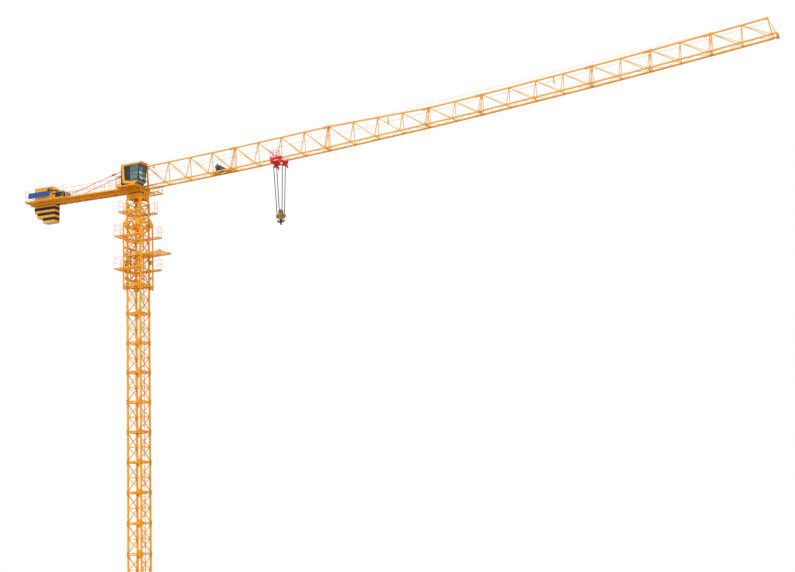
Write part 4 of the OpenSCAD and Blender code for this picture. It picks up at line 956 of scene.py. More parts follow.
def tower_top_fittings():
    """The tower top section: legs, collars, level bars and braces, with gussets and bolts."""
    shape = Shape()
    s = MAST_SIDE / 2
    h = TOWER_TOP_H
    mid = h * 0.58
    for quarter in QUARTERS:
        shape.at(quarter @ Matrix.Translation((0, 0, MAST_TOP)))
        shape.box((-s - LEG_W / 2, -s - LEG_W / 2, 0), (-s + LEG_W / 2, -s + LEG_W / 2, h))
        shape.box((-s - COLLAR_W / 2, -s - COLLAR_W / 2, 0),
                  (-s + COLLAR_W / 2, -s + COLLAR_W / 2, COLLAR_H))
        for z in (0.034, mid, h - 0.050):
            shape.bar((-s, -s, z), (s, -s, z), RING_BAR_W)
        for k in (-1, 1):
            shape.bar((-k * s, -s, 0.060), (k * s, -s, mid), BRACE_W)
            shape.bar((k * s, -s, h - 0.050), (0, -s, mid), BRACE_W)
        face = -s - COLLAR_W / 2 - 0.010
        for x in joint_bolts(s):
            shape.tube((x, face, -COLLAR_H + SLEEVE_INSET), (x, face, COLLAR_H - SLEEVE_INSET),
                       JOINT_SLEEVE_R, sides=8)
            shape.bolt((x, face, COLLAR_H - 0.014), (0, 0, 1), 0.024)
            shape.bolt((x, face, -COLLAR_H + 0.014), (0, 0, -1), 0.024)
        for k in (-1, 1):
            shape.prism([(k * (s - 0.03), h - 0.20), (k * (s - 0.03), h - 0.06), (k * (s - 0.17), h - 0.06),
                         (k * (s - 0.09), h - 0.14)], -s - 0.026, -s - 0.018)
            shape.prism([(k * (s - 0.03), mid - 0.13), (k * (s - 0.03), mid + 0.06),
                         (k * (s - 0.09), mid + 0.03),
                         (k * (s - 0.14), mid - 0.04)], -s - 0.032, -s - 0.024)
        shape.prism([(-0.12, mid - 0.02), (0.12, mid - 0.02), (0.06, mid + 0.09), (-0.06, mid + 0.09)],
                    -s - 0.032, -s - 0.024)
    shape.finish("tower_top_section_shown", "tower", "crane_orange", replaces=("tower_top_section",))


def slewing_support():
    """The box under the slewing ring: a deep band on four feet, with hand holes beside its corners, each a
    rim round a dark disc of painted shade.
    """
    shape = Shape()
    s = SUPPORT_SIDE / 2
    leg = MAST_SIDE / 2
    for quarter in QUARTERS:
        shape.at(quarter @ Matrix.Translation((0, 0, SUPPORT_Z)))
        band = [(-s, 0), (-s, SUPPORT_H - 0.016), (s, SUPPORT_H - 0.016), (s, 0), (s - 0.075, 0),
                (s - 0.090, 0.100), (s - 0.150, 0.170)]
        arch = [(x * (s - 0.150), 0.170 + 0.055 * (1 - x * x))
                for x in (0.8, 0.6, 0.3, 0.0, -0.3, -0.6, -0.8)]
        band += arch + [(-s + 0.150, 0.170), (-s + 0.090, 0.100), (-s + 0.075, 0)]
        shape.prism(band, -s, -s + 0.016)
        shape.box((-s, -s - 0.006, SUPPORT_H - 0.034), (s, -s, SUPPORT_H - 0.016))
        for k in (-1, 1):
            # Foot plate with bolts, and a hand hole: a rim round a black rubber disc that is painted shade
            # for the hole
            shape.box((k * leg - 0.058, -s - 0.004, -0.012), (k * leg + 0.058, -leg + 0.058, 0.012))
            for dx in (-0.036, 0.036):
                shape.bolt((k * leg + dx, -s + 0.012, 0.012), (0, 0, 1), 0.022)
            hole = Vector((k * s * 0.62, -s, SUPPORT_H * 0.52))
            shape.lathe([(0.050, 0), (0.062, 0), (0.062, 0.009), (0.050, 0.009)], hole,
                        (0, -1, 0), "orange", 28)
            shape.tube(hole + Vector((0, 0.001, 0)), hole + Vector((0, -0.002, 0)), 0.052, "rubber",
                       28, smooth=False)
        for x in (-0.12, 0.12):
            shape.rib(x, 0.006, (-s - 0.030, SUPPORT_H * 0.56), (-s, SUPPORT_H - 0.034))
    shape.at(Matrix.Translation((0, 0, SUPPORT_Z)))
    shape.lathe([(0.235, SUPPORT_H - 0.016), (RING_D / 2, SUPPORT_H - 0.016), (RING_D / 2, SUPPORT_H),
                 (0.235, SUPPORT_H)],
                (0, 0, 0), (0, 0, 1), "orange", 64, smooth=False)
    shape.box((-s + 0.016, -s + 0.016, SUPPORT_H - 0.060),
              (s - 0.016, s - 0.016, SUPPORT_H - 0.020), "deck")
    shape.at(Matrix.Translation((0, 0, RING_Z)))
    shape.bolt_ring((0, 0, -0.016), (0, 0, -1), RING_D / 2 - 0.030, 36, 0.020)
    shape.finish("slewing_support_shown", "tower", "crane_orange", replaces=("slewing_support",))


def slewing_fittings():
    """Pins, ribs, bolts, boxes and cable runs of the turntable and its drives."""
    shape = Shape()
    s = TABLE_SIDE / 2
    shape.at(Matrix.Translation((0, 0, TABLE_Z)))
    shape.bolt_ring((0, 0, TABLE_H), (0, 0, 1), RING_D / 2 - 0.055, 28, 0.018)
    for quarter in QUARTERS:
        shape.at(quarter @ Matrix.Translation((0, 0, TABLE_Z)))
        for x in (-0.40, -0.13, 0.13, 0.40):
            shape.rib(x, 0.005, (-s - 0.022, 0.016), (-s, TABLE_H - 0.030))
        shape.box((-s - 0.006, -s - 0.006, -0.004), (s + 0.006, -s + 0.02, 0.012))
    shape.at()
    # Pins of the jib's lower chords and of the counter-jib
    for y in (-JIB_W / 2, JIB_W / 2):
        shape.pin((ROOT_X - 0.002, y, ROOT_Z), 0.062, 0.020, "steel", 16)
        for k in (-1, 1):
            shape.tube((ROOT_X - 0.002, y + k * 0.046, ROOT_Z), (ROOT_X - 0.002, y + k * 0.056, ROOT_Z),
                       0.032, "zinc", 16)
    for y in (-GIRDER_PITCH / 2, GIRDER_PITCH / 2):
        z = GIRDER_TOP - GIRDER_H * 0.45
        shape.pin((-s - 0.030, y, z), 0.040, 0.018, "steel", 16)
    # Junction box and cables on the turntable
    shape.box((0.05, s - 0.20, TABLE_TOP + 0.004), (0.28, s - 0.04, TABLE_TOP + 0.26), "cream")
    shape.box((0.06, s - 0.040, TABLE_TOP + 0.02), (0.27, s - 0.036, TABLE_TOP + 0.25), "dark")
    for k in range(3):
        path = [Vector((0.10 + 0.05 * k, s - 0.15, TABLE_TOP + 0.01)),
                Vector((0.10 + 0.05 * k, s - 0.25, TABLE_TOP + 0.012)),
                Vector((0.02, 0.06 - 0.03 * k, TABLE_TOP + 0.012)),
                Vector((0.0, 0.05 - 0.03 * k, TABLE_TOP - 0.10))]
        shape.sweep(path, 0.009, "rubber", 8)
    shape.finish("turntable_fittings", "slewing_part", "crane_orange")

    drive = Shape()
    for y in (-0.240, 0.240):
        foot = Vector((-0.150, y, TABLE_TOP))
        drive.bolt_ring(foot + Vector((0, 0, 0.060)), (0, 0, 1), 0.072, 8, 0.014)
        for k in range(9):
            drive.lathe([(0.060, 0), (0.067, 0), (0.067, 0.005), (0.060, 0.005)],
                        foot + Vector((0, 0, 0.150 + k * 0.014)), (0, 0, 1), "grey", 24)
        drive.lathe([(0.062, 0), (0.064, 0.008), (0.064, 0.030), (0.050, 0.040)],
                    foot + Vector((0, 0, 0.300)), (0, 0, 1), "dark", 24)
        drive.box(foot + Vector((0.055, -0.030, 0.18)), foot + Vector((0.090, 0.030, 0.25)), "grey")
        drive.sweep([foot + Vector((0.080, 0, 0.18)), foot + Vector((0.11, 0.01, 0.10)),
                     foot + Vector((0.12, 0.03, 0.010)),
                     foot + Vector((0.20, 0.03, 0.008))], 0.007, "rubber", 8)
    drive.finish("slewing_drive_details", "slewing_part", "machine_grey")


def tower_head_fittings():
    """Gussets, pins, lugs of the stays, rope pulley and ladder of the tower head."""
    shape = Shape()
    base = TABLE_TOP
    top = base + HEAD_H - 0.060
    front = ROOT_X + TOP_LEAD - 0.070
    for y in (-1, 1):
        for x in (-0.060, front - 0.040):
            shape.at(Matrix.Translation((x, y * 0.120, top)))
            shape.prism([(-0.07, 0.045), (0.07, 0.045), (0.09, -0.03), (0.03, -0.16), (-0.03, -0.16),
                         (-0.09, -0.03)],
                        0, y * 0.008)
        shape.at(Matrix.Translation((0, y * (TABLE_SIDE / 2 - 0.015), base)))
        for x in (-0.37, 0.37):
            shape.prism([(x - 0.05, 0.02), (x + 0.05, 0.02), (x + 0.03, 0.14), (x - 0.03, 0.14)], 0,
                        y * 0.006)
    shape.at()
    shape.pin((ROOT_X + TOP_LEAD, 0, ROOT_Z + JIB_DEEP), 0.062, 0.018, "steel", 16)
    # Cross bar and lugs that carry the stays
    reach = STAY_HEAD_PITCH / 2
    shape.box((-0.100, -reach - 0.020, top - 0.040), (-0.020, reach + 0.020, top + 0.040))
    lug = [(-0.100, top - 0.030), (-0.030, top - 0.030), (-0.060, top + STAY_RISE + 0.040),
           (-0.200, top + STAY_RISE + 0.040), (-0.200, top + STAY_RISE - 0.040)]
    for y in (-reach, reach):
        shape.prism(lug, y - 0.020, y - 0.012)
        shape.prism(lug, y + 0.012, y + 0.020)
        shape.pin((STAY_PIN_X, y, top + STAY_RISE), 0.030, 0.014, "zinc", 14)
    # Pulley that leads the hoist rope into the jib
    hub = HEAD_PULLEY
    shape.lathe([(0.085, -0.012), (0.100, -0.012), (0.088, 0), (0.100, 0.012), (0.085, 0.012)], hub,
                (0, 1, 0), "steel", 32)
    shape.pin(hub, 0.245, 0.015, "grey", 14)
    for k in (-1, 1):
        shape.box(hub + Vector((-0.03, k * 0.022 - 0.004, -0.05)),
                  hub + Vector((0.03, k * 0.022 + 0.004, 0.05)), "orange")
    # Ladder on the rear legs
    for x in (-0.09, 0.09):
        shape.bar((-0.395, x, base + 0.02), (-0.110, x, top + 0.02), 0.014)
    for k in range(9):
        p = lerp((-0.395, 0, base + 0.02), (-0.110, 0, top + 0.02), (k + 0.6) / 9)
        shape.pin(p, 0.09, 0.006, sides=6)
    shape.finish("tower_head_fittings", "slewing_part", "crane_orange")


def root_platform():
    """The small open-floored platform under the jib's root, with its hangers and railings."""
    shape = Shape()
    x0 = SUPPORT_SIDE / 2 * math.sqrt(2) + 0.010
    x1 = x0 + FRONT_L
    z = TABLE_Z - 0.105
    y = FRONT_W / 2
    height = ROOT_Z - RAIL_DROP - z - 0.001
    shape.open_floor((x0, -y), (x1, y), z - 0.004)
    for k in (-1, 1):
        shape.box((x0, k * y - 0.007, z - 0.060), (x1, k * y + 0.007, z))
        shape.bar((x0 + 0.020, k * y, z - 0.030), (x0 + 0.020, k * y, TABLE_Z + 0.090), 0.032)
        shape.bar((x0 + 0.020, k * y, TABLE_Z + 0.080), (TABLE_SIDE / 2, k * y, TABLE_Z + 0.080), 0.032)
        middle = (x0 + 0.200 + x1) / 2
        shape.rail_frame((x0 + 0.200, k * y, z), (middle - 0.006, k * y, z), height)
        shape.rail_frame((middle + 0.006, k * y, z), (x1 - 0.007, k * y, z), height)
    for x in (x0, (x0 + x1) / 2, x1 - 0.014):
        shape.box((x, -y, z - 0.055), (x + 0.014, y, z - 0.006))
    shape.rail_frame((x1 - 0.007, -y + 0.020, z), (x1 - 0.007, y - 0.020, z), height)
    shape.finish("jib_root_platform_shown", "slewing_part", "crane_orange", replaces=("jib_root_platform",))


def cab_place(y):
    """The cab's side plane at y, with the origin at its lower rear corner."""
    return Matrix.Translation((-CAB_BACK, y, CAB_Z))


CAB_OUTSIDE = -CAB_OFF - CAB_W
CAB_INSIDE = -CAB_OFF
WINDOW_X = CAB_L * 0.49
WINDOW_TOP = CAB_H * 0.91
SILL = CAB_H * 0.145
SILL_REAR = CAB_H * 0.165
CHIN_X = CAB_L * 0.71
CHIN = CAB_H * 0.124
BROW = CAB_H * 0.972
POST_L = 0.048


def cab_front(z):
    """How far the leaning windscreen stands in front of the cab's rear wall at height z."""
    return CAB_L * (0.915 + 0.085 * (z / CAB_H - 0.124) / 0.848)


def front_point(z, back=0.0):
    """A point of the cab's side outline at height z, so far behind its leaning front."""
    return cab_front(z) - back, z


def cab_shell():
    """The cab's walls, floor, roof and chin round its windows, and the visor."""
    y0, y1 = CAB_OUTSIDE, CAB_INSIDE
    shape = Shape().at(cab_place(0))
    for a, b in ((y0, y0 + CAB_WALL), (y1 - CAB_WALL, y1)):
        shape.prism([(0, 0), (WINDOW_X, 0), (WINDOW_X, CAB_H), (0, CAB_H)], a, b)
        shape.prism([(WINDOW_X, 0), (CHIN_X, 0), front_point(CHIN), front_point(SILL),
                     front_point(SILL, POST_L), (WINDOW_X, SILL_REAR)], a, b)
        shape.prism([(WINDOW_X, WINDOW_TOP), front_point(WINDOW_TOP), front_point(BROW),
                     (CAB_L, CAB_H), (WINDOW_X, CAB_H)], a, b)
        shape.prism([front_point(SILL, POST_L), front_point(SILL), front_point(WINDOW_TOP),
                     front_point(WINDOW_TOP, POST_L)], a, b, "dark")
    a, b = y0 + CAB_WALL, y1 - CAB_WALL
    shape.prism([(0, 0), (CHIN_X, 0), (CAB_L * 0.69, CAB_WALL), (0, CAB_WALL)], a, b)
    shape.prism([(CHIN_X, 0), front_point(CHIN), front_point(SILL), front_point(SILL, 0.030),
                 front_point(CHIN, 0.034), (CAB_L * 0.69, CAB_WALL)], a, b, "dark")
    shape.prism([front_point(WINDOW_TOP), front_point(BROW), (CAB_L, CAB_H), (0, CAB_H),
                 (0, CAB_H - CAB_WALL), (cab_front(WINDOW_TOP) - 0.034, CAB_H - CAB_WALL),
                 front_point(WINDOW_TOP, 0.034)], a, b)
    shape.box((0, a, CAB_WALL), (CAB_WALL, b, CAB_H - CAB_WALL))
    shape.prism([(CAB_L - 0.006, CAB_H - 0.030), (CAB_L + VISOR_L, CAB_H - 0.014), (CAB_L + VISOR_L, CAB_H),
                 (CAB_L - 0.006, CAB_H)], y0, y1)
    shape.finish("cab_shell_shown", "slewing_part", "crane_orange", replaces=("cab_shell",))


def cab_glazing():
    """The two side windows and the windscreen."""
    shape = Shape().at(cab_place(0))
    y0, y1 = CAB_OUTSIDE, CAB_INSIDE
    side = [(WINDOW_X, SILL_REAR), front_point(SILL, POST_L), front_point(WINDOW_TOP, POST_L),
            (WINDOW_X, WINDOW_TOP)]
    shape.prism(side, y0 + 0.010, y0 + 0.018, "glass")
    shape.prism(side, y1 - 0.018, y1 - 0.010, "glass")
    shape.prism([front_point(SILL, 0.014), front_point(SILL, 0.006), front_point(WINDOW_TOP, 0.006),
                 front_point(WINDOW_TOP, 0.014)], y0 + CAB_WALL, y1 - CAB_WALL, "windscreen")
    shape.finish("cab_glazing_shown", "slewing_part", "cab_glass", replaces=("cab_glazing",))


def cab_panels():
    """Painted side panels, window frames, door, roof trim, grille, lamps and wiper of the cab."""
    shape = Shape()
    sill, head = SILL, WINDOW_TOP
    skin = 0.003
    # Lower corner, height and slope of the edge where the dark rear panel ends
    stripe_x, stripe_z, stripe_fall = 0.175, 0.257, 0.240
    for side in (-1, 1):
        outer = CAB_OUTSIDE if side < 0 else CAB_INSIDE
        shape.at(cab_place(outer))

        def panel(outline, paint, proud=skin, sunk=0.001):
            """A thin plate on the cab's side, a little sunk into its wall."""
            shape.prism(outline, -side * sunk, side * proud, paint)

        def stripe(x):
            """Height of the rear panel's sloping lower edge at x."""
            return stripe_z - stripe_fall * (x - stripe_x)

        # Dark corner strip and wedge, and dark rear panel, over the orange shell
        panel([(0.002, 0.004), (0.095, 0.122), (0.030, 0.982), (0.002, 0.982)], "navy")
        panel([(0.002, 0.004), (CAB_L * 0.60, 0.004), (0.095, 0.122)], "navy", skin + 0.0005)
        panel([(0.225, stripe(0.225)), (WINDOW_X - 0.028, stripe(WINDOW_X - 0.028)),
               (WINDOW_X - 0.028, 0.978), (stripe_x, 0.978)], "navy")
        # Door frame and window gasket
        outer_line = [(WINDOW_X - 0.030, SILL_REAR - 0.006), (cab_front(sill) - 0.004, sill - 0.010),
                      (cab_front(head) - 0.004, head + 0.012), (WINDOW_X - 0.030, head + 0.012)]
        inner_line = [(WINDOW_X, SILL_REAR + 0.006), (cab_front(sill) - POST_L, sill + 0.006),
                      front_point(head, POST_L), (WINDOW_X, head)]
        for k in range(4):
            j = (k + 1) % 4
            panel([outer_line[k], outer_line[j], inner_line[j], inner_line[k]], "dark", 0.006)
        # Seams, hinges and handle of the rear door
        for x in (0.240, WINDOW_X - 0.040):
            panel([(x, 0.285), (x + 0.004, 0.285), (x + 0.004, 0.960), (x, 0.960)], "dark", 0.0045)
        for z in (0.36, 0.86):
            shape.tube((0.236, side * 0.008, z - 0.03), (0.236, side * 0.008, z + 0.03), 0.007, "dark", 8)
        shape.sweep([(WINDOW_X - 0.075, 0, 0.50), (WINDOW_X - 0.075, side * 0.030, 0.51),
                     (WINDOW_X - 0.075, side * 0.030, 0.63), (WINDOW_X - 0.075, 0, 0.64)], 0.006, "zinc", 8)
    # Roof: drip edge, hatch, ribs and work lamps
    y0, y1 = CAB_OUTSIDE, CAB_INSIDE
    shape.at(Matrix.Translation((-CAB_BACK, 0, CAB_Z + CAB_H)))
    shape.box((-0.008, y0 - 0.010, -0.028), (CAB_L + VISOR_L, y0, -0.001))
    shape.box((-0.008, y1, -0.028), (CAB_L + VISOR_L, y1 + 0.010, -0.001))
    shape.box((-0.010, y0 - 0.010, -0.028), (0, y1 + 0.010, -0.001))
    shape.box((0.30, y0 + 0.14, 0.0), (0.72, y1 - 0.14, 0.022))
    for k in range(5):
        x = 0.15 + 0.20 * k
        shape.rib(x, 0.004, (y0 + 0.02, 0), (y1 - 0.02, 0.006))
    for y in (y0 + 0.10, y1 - 0.10):
        shape.post(CAB_L, y, 0.03, 0.030, 0.0, 0.050, "dark")
        shape.box((CAB_L + 0.030, y - 0.026, 0.006), (CAB_L + 0.034, y + 0.026, 0.046), "lens")
    # Front: window gaskets, corner posts and wiper
    shape.at(cab_place(0))
    lean = Vector((cab_front(head) - cab_front(sill), 0, head - sill)).normalized()
    out = Vector((lean.z, 0, -lean.x))
    low = Vector((cab_front(sill), 0, sill))
    high = Vector((cab_front(head), 0, head))
    for y in (y0 + 0.018, y1 - 0.018):
        a, b = low + Vector((0, y, 0)), high + Vector((0, y, 0))
        shape.bar(a + out * 0.002, b + out * 0.002, 0.036, "dark", 0.008, up=out)
    for p in (low, high):
        a, b = (p + Vector((0, y, 0)) + out * 0.002 for y in (y0, y1))
        shape.bar(a, b, 0.036, "dark", 0.008, up=out)
    middle = lerp(low, high, 0.42)
    a, b = (middle + Vector((0, y, 0)) - out * 0.016 for y in (y0 + 0.02, y1 - 0.02))
    shape.bar(a, b, 0.018, "dark", 0.010, up=out)
    pivot = low + Vector((0, (y0 + y1) / 2, 0)) + out * 0.012 + lean * 0.02
    tip = pivot + lean * 0.36 + Vector((0, 0.14, 0))
    shape.bar(pivot, tip, 0.010, "dark", 0.005, up=out)
    shape.bar(tip - lean * 0.16 - Vector((0, 0.06, 0)), tip + lean * 0.14 + Vector((0, 0.05, 0)), 0.012,
              "rubber", 0.012, up=out)
    shape.tube(pivot - out * 0.01, pivot + out * 0.012, 0.016, "dark", 12)
    # Grille of foot bars on the slanted chin
    chin_low = Vector((CHIN_X, 0, 0))
    chin_high = Vector((cab_front(CHIN), 0, CHIN))
    chin = (chin_high - chin_low).normalized()
    down = Vector((chin.z, 0, -chin.x))
    edges = ((chin_low, 0.002), (chin_high, 0.002), (chin_high, -0.004), (chin_low, -0.004))
    plate = [p + down * d for p, d in edges]
    shape.prism([(p.x, p.z) for p in plate], y0 + 0.01, y1 - 0.01, "dark")
    for k in range(10):
        p = lerp(chin_low + chin * 0.012, chin_high - chin * 0.012, k / 9) + down * 0.010
        a, b = (p + Vector((0, y, 0)) for y in (y0 + 0.020, y1 - 0.020))
        shape.bar(a, b, 0.008, "cream", 0.016, up=down)
    for y in (y0 + 0.020, (y0 + y1) / 2, y1 - 0.020):
        a, b = chin_low + Vector((0, y, 0)) + down * 0.012, chin_high + Vector((0, y, 0)) + down * 0.012
        shape.bar(a, b, 0.012, "dark", 0.018, up=down)
    shape.finish("cab_panels", "slewing_part", "crane_orange", bevel=0.0015)


def cab_interior():
    """Seat, joystick consoles, screen, panel and floor mat behind the cab's glass."""
    shape = Shape()
    x = -CAB_BACK + CAB_L * 0.42
    y = -CAB_OFF - CAB_W / 2
    floor = CAB_Z + CAB_WALL
    shape.box((x - 0.20, y - 0.24, floor + 0.001), (x + 0.50, y + 0.24, floor + 0.006), "rubber")
    for k in (-1, 1):
        shape.box((x - 0.05, y + k * 0.165 - 0.034, floor + 0.331),
                  (x + 0.165, y + k * 0.165 + 0.034, floor + 0.338), "dark")
        stick = Vector((x + 0.11, y + k * 0.165, floor + 0.335))
        shape.lathe([(0.020, 0), (0.016, 0.012), (0.008, 0.020), (0.007, 0.060)], stick,
                    (0, 0, 1), "rubber", 14)
        shape.lathe([(0.006, 0), (0.015, 0.008), (0.016, 0.024), (0.008, 0.036)],
                    stick + Vector((0, 0, 0.055)), (0, 0, 1), "rubber", 14)
        for j in range(3):
            shape.tube(stick + Vector((-0.06 - 0.022 * j, 0, 0)),
                       stick + Vector((-0.06 - 0.022 * j, 0, 0.007)), 0.007,
                       ("lamp", "cream", "zinc")[j], 10)
    # Bars, sun blinds that glow as a painted reflection, and a yellow grab rail just behind the windscreen
    y0, y1 = CAB_OUTSIDE + 0.045, CAB_INSIDE - 0.045

    def screen(y, f, back=0.030):
        """A point behind the windscreen, at the share f of the cab's height."""
        z = CAB_H * f
        return cab_place(y) @ Vector((cab_front(z) - back, 0, z))

    for f in (0.42, 0.63, 0.86):
        shape.bar(screen(y0, f), screen(y1, f), 0.016, "dark", 0.026)
    shape.bar(screen(y1 - 0.150, 0.16), screen(y1 - 0.150, 0.90), 0.016, "dark", 0.026)
    glowing_blinds = ((0.455, 0.615, y0 + 0.01, y0 + 0.25), (0.655, 0.780, y0 + 0.03, y0 + 0.29),
              (0.20, 0.33, y1 - 0.36, y1 - 0.17))
    for low, high, a, b in glowing_blinds:
        points = [screen(a, low, 0.045), screen(b, low, 0.045), screen(b, high, 0.045),
                  screen(a, high, 0.045)]
        points += [q + Vector((-0.004, 0, 0)) for q in points]
        shape.add(points, [(0, 1, 2, 3), (7, 6, 5, 4), (0, 4, 5, 1), (1, 5, 6, 2), (2, 6, 7, 3),
                           (3, 7, 4, 0)], "blind")
    shape.sweep([screen(y0 + 0.09, 0.38, 0.060), screen(y0 + 0.16, 0.37, 0.075),
                 screen(y0 + 0.40, 0.37, 0.075)], 0.011, "rail", 8)
    shape.sweep([screen(y1 - 0.10, 0.30, 0.060), screen(y1 - 0.10, 0.80, 0.060)], 0.011, "rail", 8)
    # Screen on an arm, and a control board on the rear wall
    arm = Vector((x + 0.30, y + 0.22, floor))
    shape.tube(arm, arm + Vector((0, 0, 0.52)), 0.010, "dark", 10)
    shape.box(arm + Vector((-0.02, -0.07, 0.50)), arm + Vector((0.0, 0.03, 0.60)), "dark")
    shape.box((-CAB_BACK + 0.034, y - 0.22, floor + 0.35),
              (-CAB_BACK + 0.070, y + 0.22, floor + 0.80), "cream")
    shape.finish("cab_interior", "slewing_part", "seat_black", bevel=0.002)

    foam = Shape()
    foam.box((x - 0.125, y - 0.115, floor + 0.205), (x + 0.130, y + 0.115, floor + 0.285), "seat")
    foam.box((x - 0.150, y - 0.110, floor + 0.260), (x - 0.085, y + 0.110, floor + 0.640), "seat")
    foam.box((x - 0.140, y - 0.070, floor + 0.650), (x - 0.095, y + 0.070, floor + 0.740), "seat")
    cushion = foam.finish("seat_cushions", "slewing_part", "seat_black")
    crease = cushion.modifiers.new("bevel", "BEVEL")
    crease.width, crease.segments = 0.018, 4
    soft = cushion.modifiers.new("soft", "SUBSURF")
    soft.levels = soft.render_levels = 1


def cab_platform_details():
    """Floor ribs, two struts, a step and rear bars of the cab's platform."""
    shape = Shape()
    x0, x1 = -CAB_DECK_BACK, -CAB_DECK_BACK + CAB_DECK_L
    y0, y1 = -TABLE_SIDE / 2 - CAB_DECK_W, -TABLE_SIDE / 2 - 0.001
    z = CAB_Z - 0.010
    for k in range(1, 12):
        x = x0 + (x1 - x0) * k / 12
        shape.rib(x, 0.004, (y0 + 0.016, z - 0.045), (y1, z - 0.008), "deck")
    for x in (x0 + 0.30, x1 - 0.30):
        shape.bar((x, y1 - 0.01, TABLE_Z + 0.030), (x, y0 + 0.25, z - 0.050), 0.034)
    shape.box((x0, y0 - 0.003, z), (x0 + 0.30, y0 + 0.003, z + 0.06))
    edge = x0 + 0.007
    for f in (0.25, 0.75):
        shape.bar((edge, y0 + 0.007, z + RAIL_H * f), (edge, y1 - 0.007, z + RAIL_H * f), 0.010)
    shape.finish("cab_platform_details", "slewing_part", "crane_orange")


def counter_jib_fittings():
    """Deck ribs, stiffeners, bolts, cable tray, post knobs and stay plates of the counter-jib."""
    shape = Shape().at(counter_place())
    low = GIRDER_TOP - 0.020
    # Deck ribs and floor bars seen from below, between and beside the girders
    inner = GIRDER_PITCH / 2 + FLANGE_W / 2 + 0.002
    for k in range(17):
        x = WALK_REAR + 0.05 + k * (WALK_FRONT - WALK_REAR - 0.10) / 16
        for m in (-1, 1):
            shape.box((x - 0.005, m * inner, low + 0.002),
                      (x + 0.005, m * (WALK_W / 2 - 0.012), GIRDER_TOP), "deck")
    for m in (-1, 1):
        shape.box((WALK_REAR, m * 0.300 - 0.004, low), (WALK_FRONT, m * 0.300 + 0.004, GIRDER_TOP), "deck")
    # Web stiffeners and flange gussets at the cross members; the gussets are pale cream as a painted
    # highlight
    cross_x = 0.580
    pitch = (SLAB_FRONT - 2 * cross_x + 0.280) / 4.5
    for k in range(5):
        x = -cross_x - k * pitch
        for m in (-1, 1):
            outer = m * (GIRDER_PITCH / 2 + FLANGE_W / 2)
            shape.rib(x, 0.004, (m * GIRDER_PITCH / 2, GIRDER_LOW + 0.014), (outer, GIRDER_TOP - 0.014))
            shape.box((x - 0.045, m * 0.10, GIRDER_LOW - 0.004),
                      (x + 0.045, m * (GIRDER_PITCH / 2 - 0.02), GIRDER_LOW), "orange")
            shape.prism([(x - 0.030, GIRDER_LOW - 0.030), (x - 0.012, GIRDER_LOW - 0.030),
                         (x + 0.020, GIRDER_LOW + 0.070),
                         (x - 0.004, GIRDER_LOW + 0.070)], outer, outer + m * 0.006, "cream")
            for dx in (-0.022, 0.022):
                shape.bolt((x + dx, m * (GIRDER_PITCH / 2 - 0.012), GIRDER_LOW), (0, 0, -1), 0.016)
    # Cable tray along the far girder
    shape.box((WALK_REAR, inner + 0.010, GIRDER_LOW + 0.03),
              (WALK_FRONT + 0.10, inner + 0.070, GIRDER_LOW + 0.036), "zinc")
    for j in range(3):
        y = inner + 0.022 + 0.018 * j
        shape.sweep([(WALK_REAR, y, GIRDER_LOW + 0.044), (-2.5, y + 0.004, GIRDER_LOW + 0.044),
                     (WALK_FRONT + 0.10, y, GIRDER_LOW + 0.044)], 0.007, "rubber", 6)
    # Post sockets and the knobs where the railing frames are pinned together
    for m in (-1, 1):
        y = m * (WALK_W / 2 - 0.020)
        z = GIRDER_TOP + WALK_T
        x0, x1 = WALK_REAR + 0.008, WALK_FRONT - 0.008
        for k in range(5):
            x = x0 + (x1 - x0) * k / 4
            shape.post(x, y, 0.013, 0.013, z, z + 0.050)
            shape.post(x, y, 0.018, 0.018, z + RAIL_H - 0.030, z + RAIL_H + 0.012)
        for k in range(4):
            x = x0 + (x1 - x0) * (k + 0.5) / 4
            shape.post(x, y, 0.005, 0.005, z, z + RAIL_H, "rail")
    # Plates and pin that hold each tie bar on the walkway
    for m in (-1, 1):
        pin = Vector((-STAY_REACH, m * STAY_PITCH / 2, GIRDER_TOP + STAY_PIN_RISE))
        shape.pin(pin, 0.030, 0.013, "zinc", 12)
        shape.prism([(-STAY_REACH - 0.075, GIRDER_TOP + WALK_T), (-STAY_REACH + 0.075, GIRDER_TOP + WALK_T),
                     (-STAY_REACH + 0.030, GIRDER_TOP + 0.085), (-STAY_REACH - 0.030, GIRDER_TOP + 0.085)],
                    m * STAY_PITCH / 2 + m * 0.008, m * STAY_PITCH / 2 + m * 0.016)
    shape.finish("counter_jib_fittings", "slewing_part", "crane_orange")


def counter_jib_stays():
    """The two tie bars from the tower head down to the counter-jib, each with a coupler and a fork."""
    shape = Shape()
    for m in (-1, 1):
        a = Vector((STAY_PIN_X, m * STAY_HEAD_PITCH / 2, TABLE_TOP + HEAD_H - 0.060 + STAY_RISE))
        b = counter_place() @ Vector((-STAY_REACH, m * STAY_PITCH / 2, GIRDER_TOP + STAY_PIN_RISE))
        run = (b - a).normalized()
        shape.tube(a, b - run * 0.070, STAY_D * 0.70, "red", 14)
        shape.bar(a - run * 0.012, a + run * 0.060, 0.018, "red", 0.050)
        for y in (-0.013, 0.013):
            shape.bar(b - run * 0.100 + Vector((0, y, 0)), b + run * 0.030 + Vector((0, y, 0)),
                      0.011, "red", 0.038)
        shape.bar(b - run * 0.105, b - run * 0.070, 0.038, "red")
        p = a + run * 1.040
        shape.tube(p, p + run * 0.220, COUPLER_R, "red", 16)
        shape.tube(p - run * 0.035, p, STAY_D / 2, "red", 16, end_radius=COUPLER_R)
        shape.tube(p + run * 0.220, p + run * 0.255, COUPLER_R, "red", 16, end_radius=STAY_D / 2)
        for along in (0.035, 0.185):
            shape.tube(p + run * along + Vector((0, -0.040, 0)), p + run * along + Vector((0, 0.040, 0)),
                       0.010, "zinc", 10)
    shape.finish("counter_jib_stays_shown", "slewing_part", "signal_red", replaces=("counter_jib_stays",))


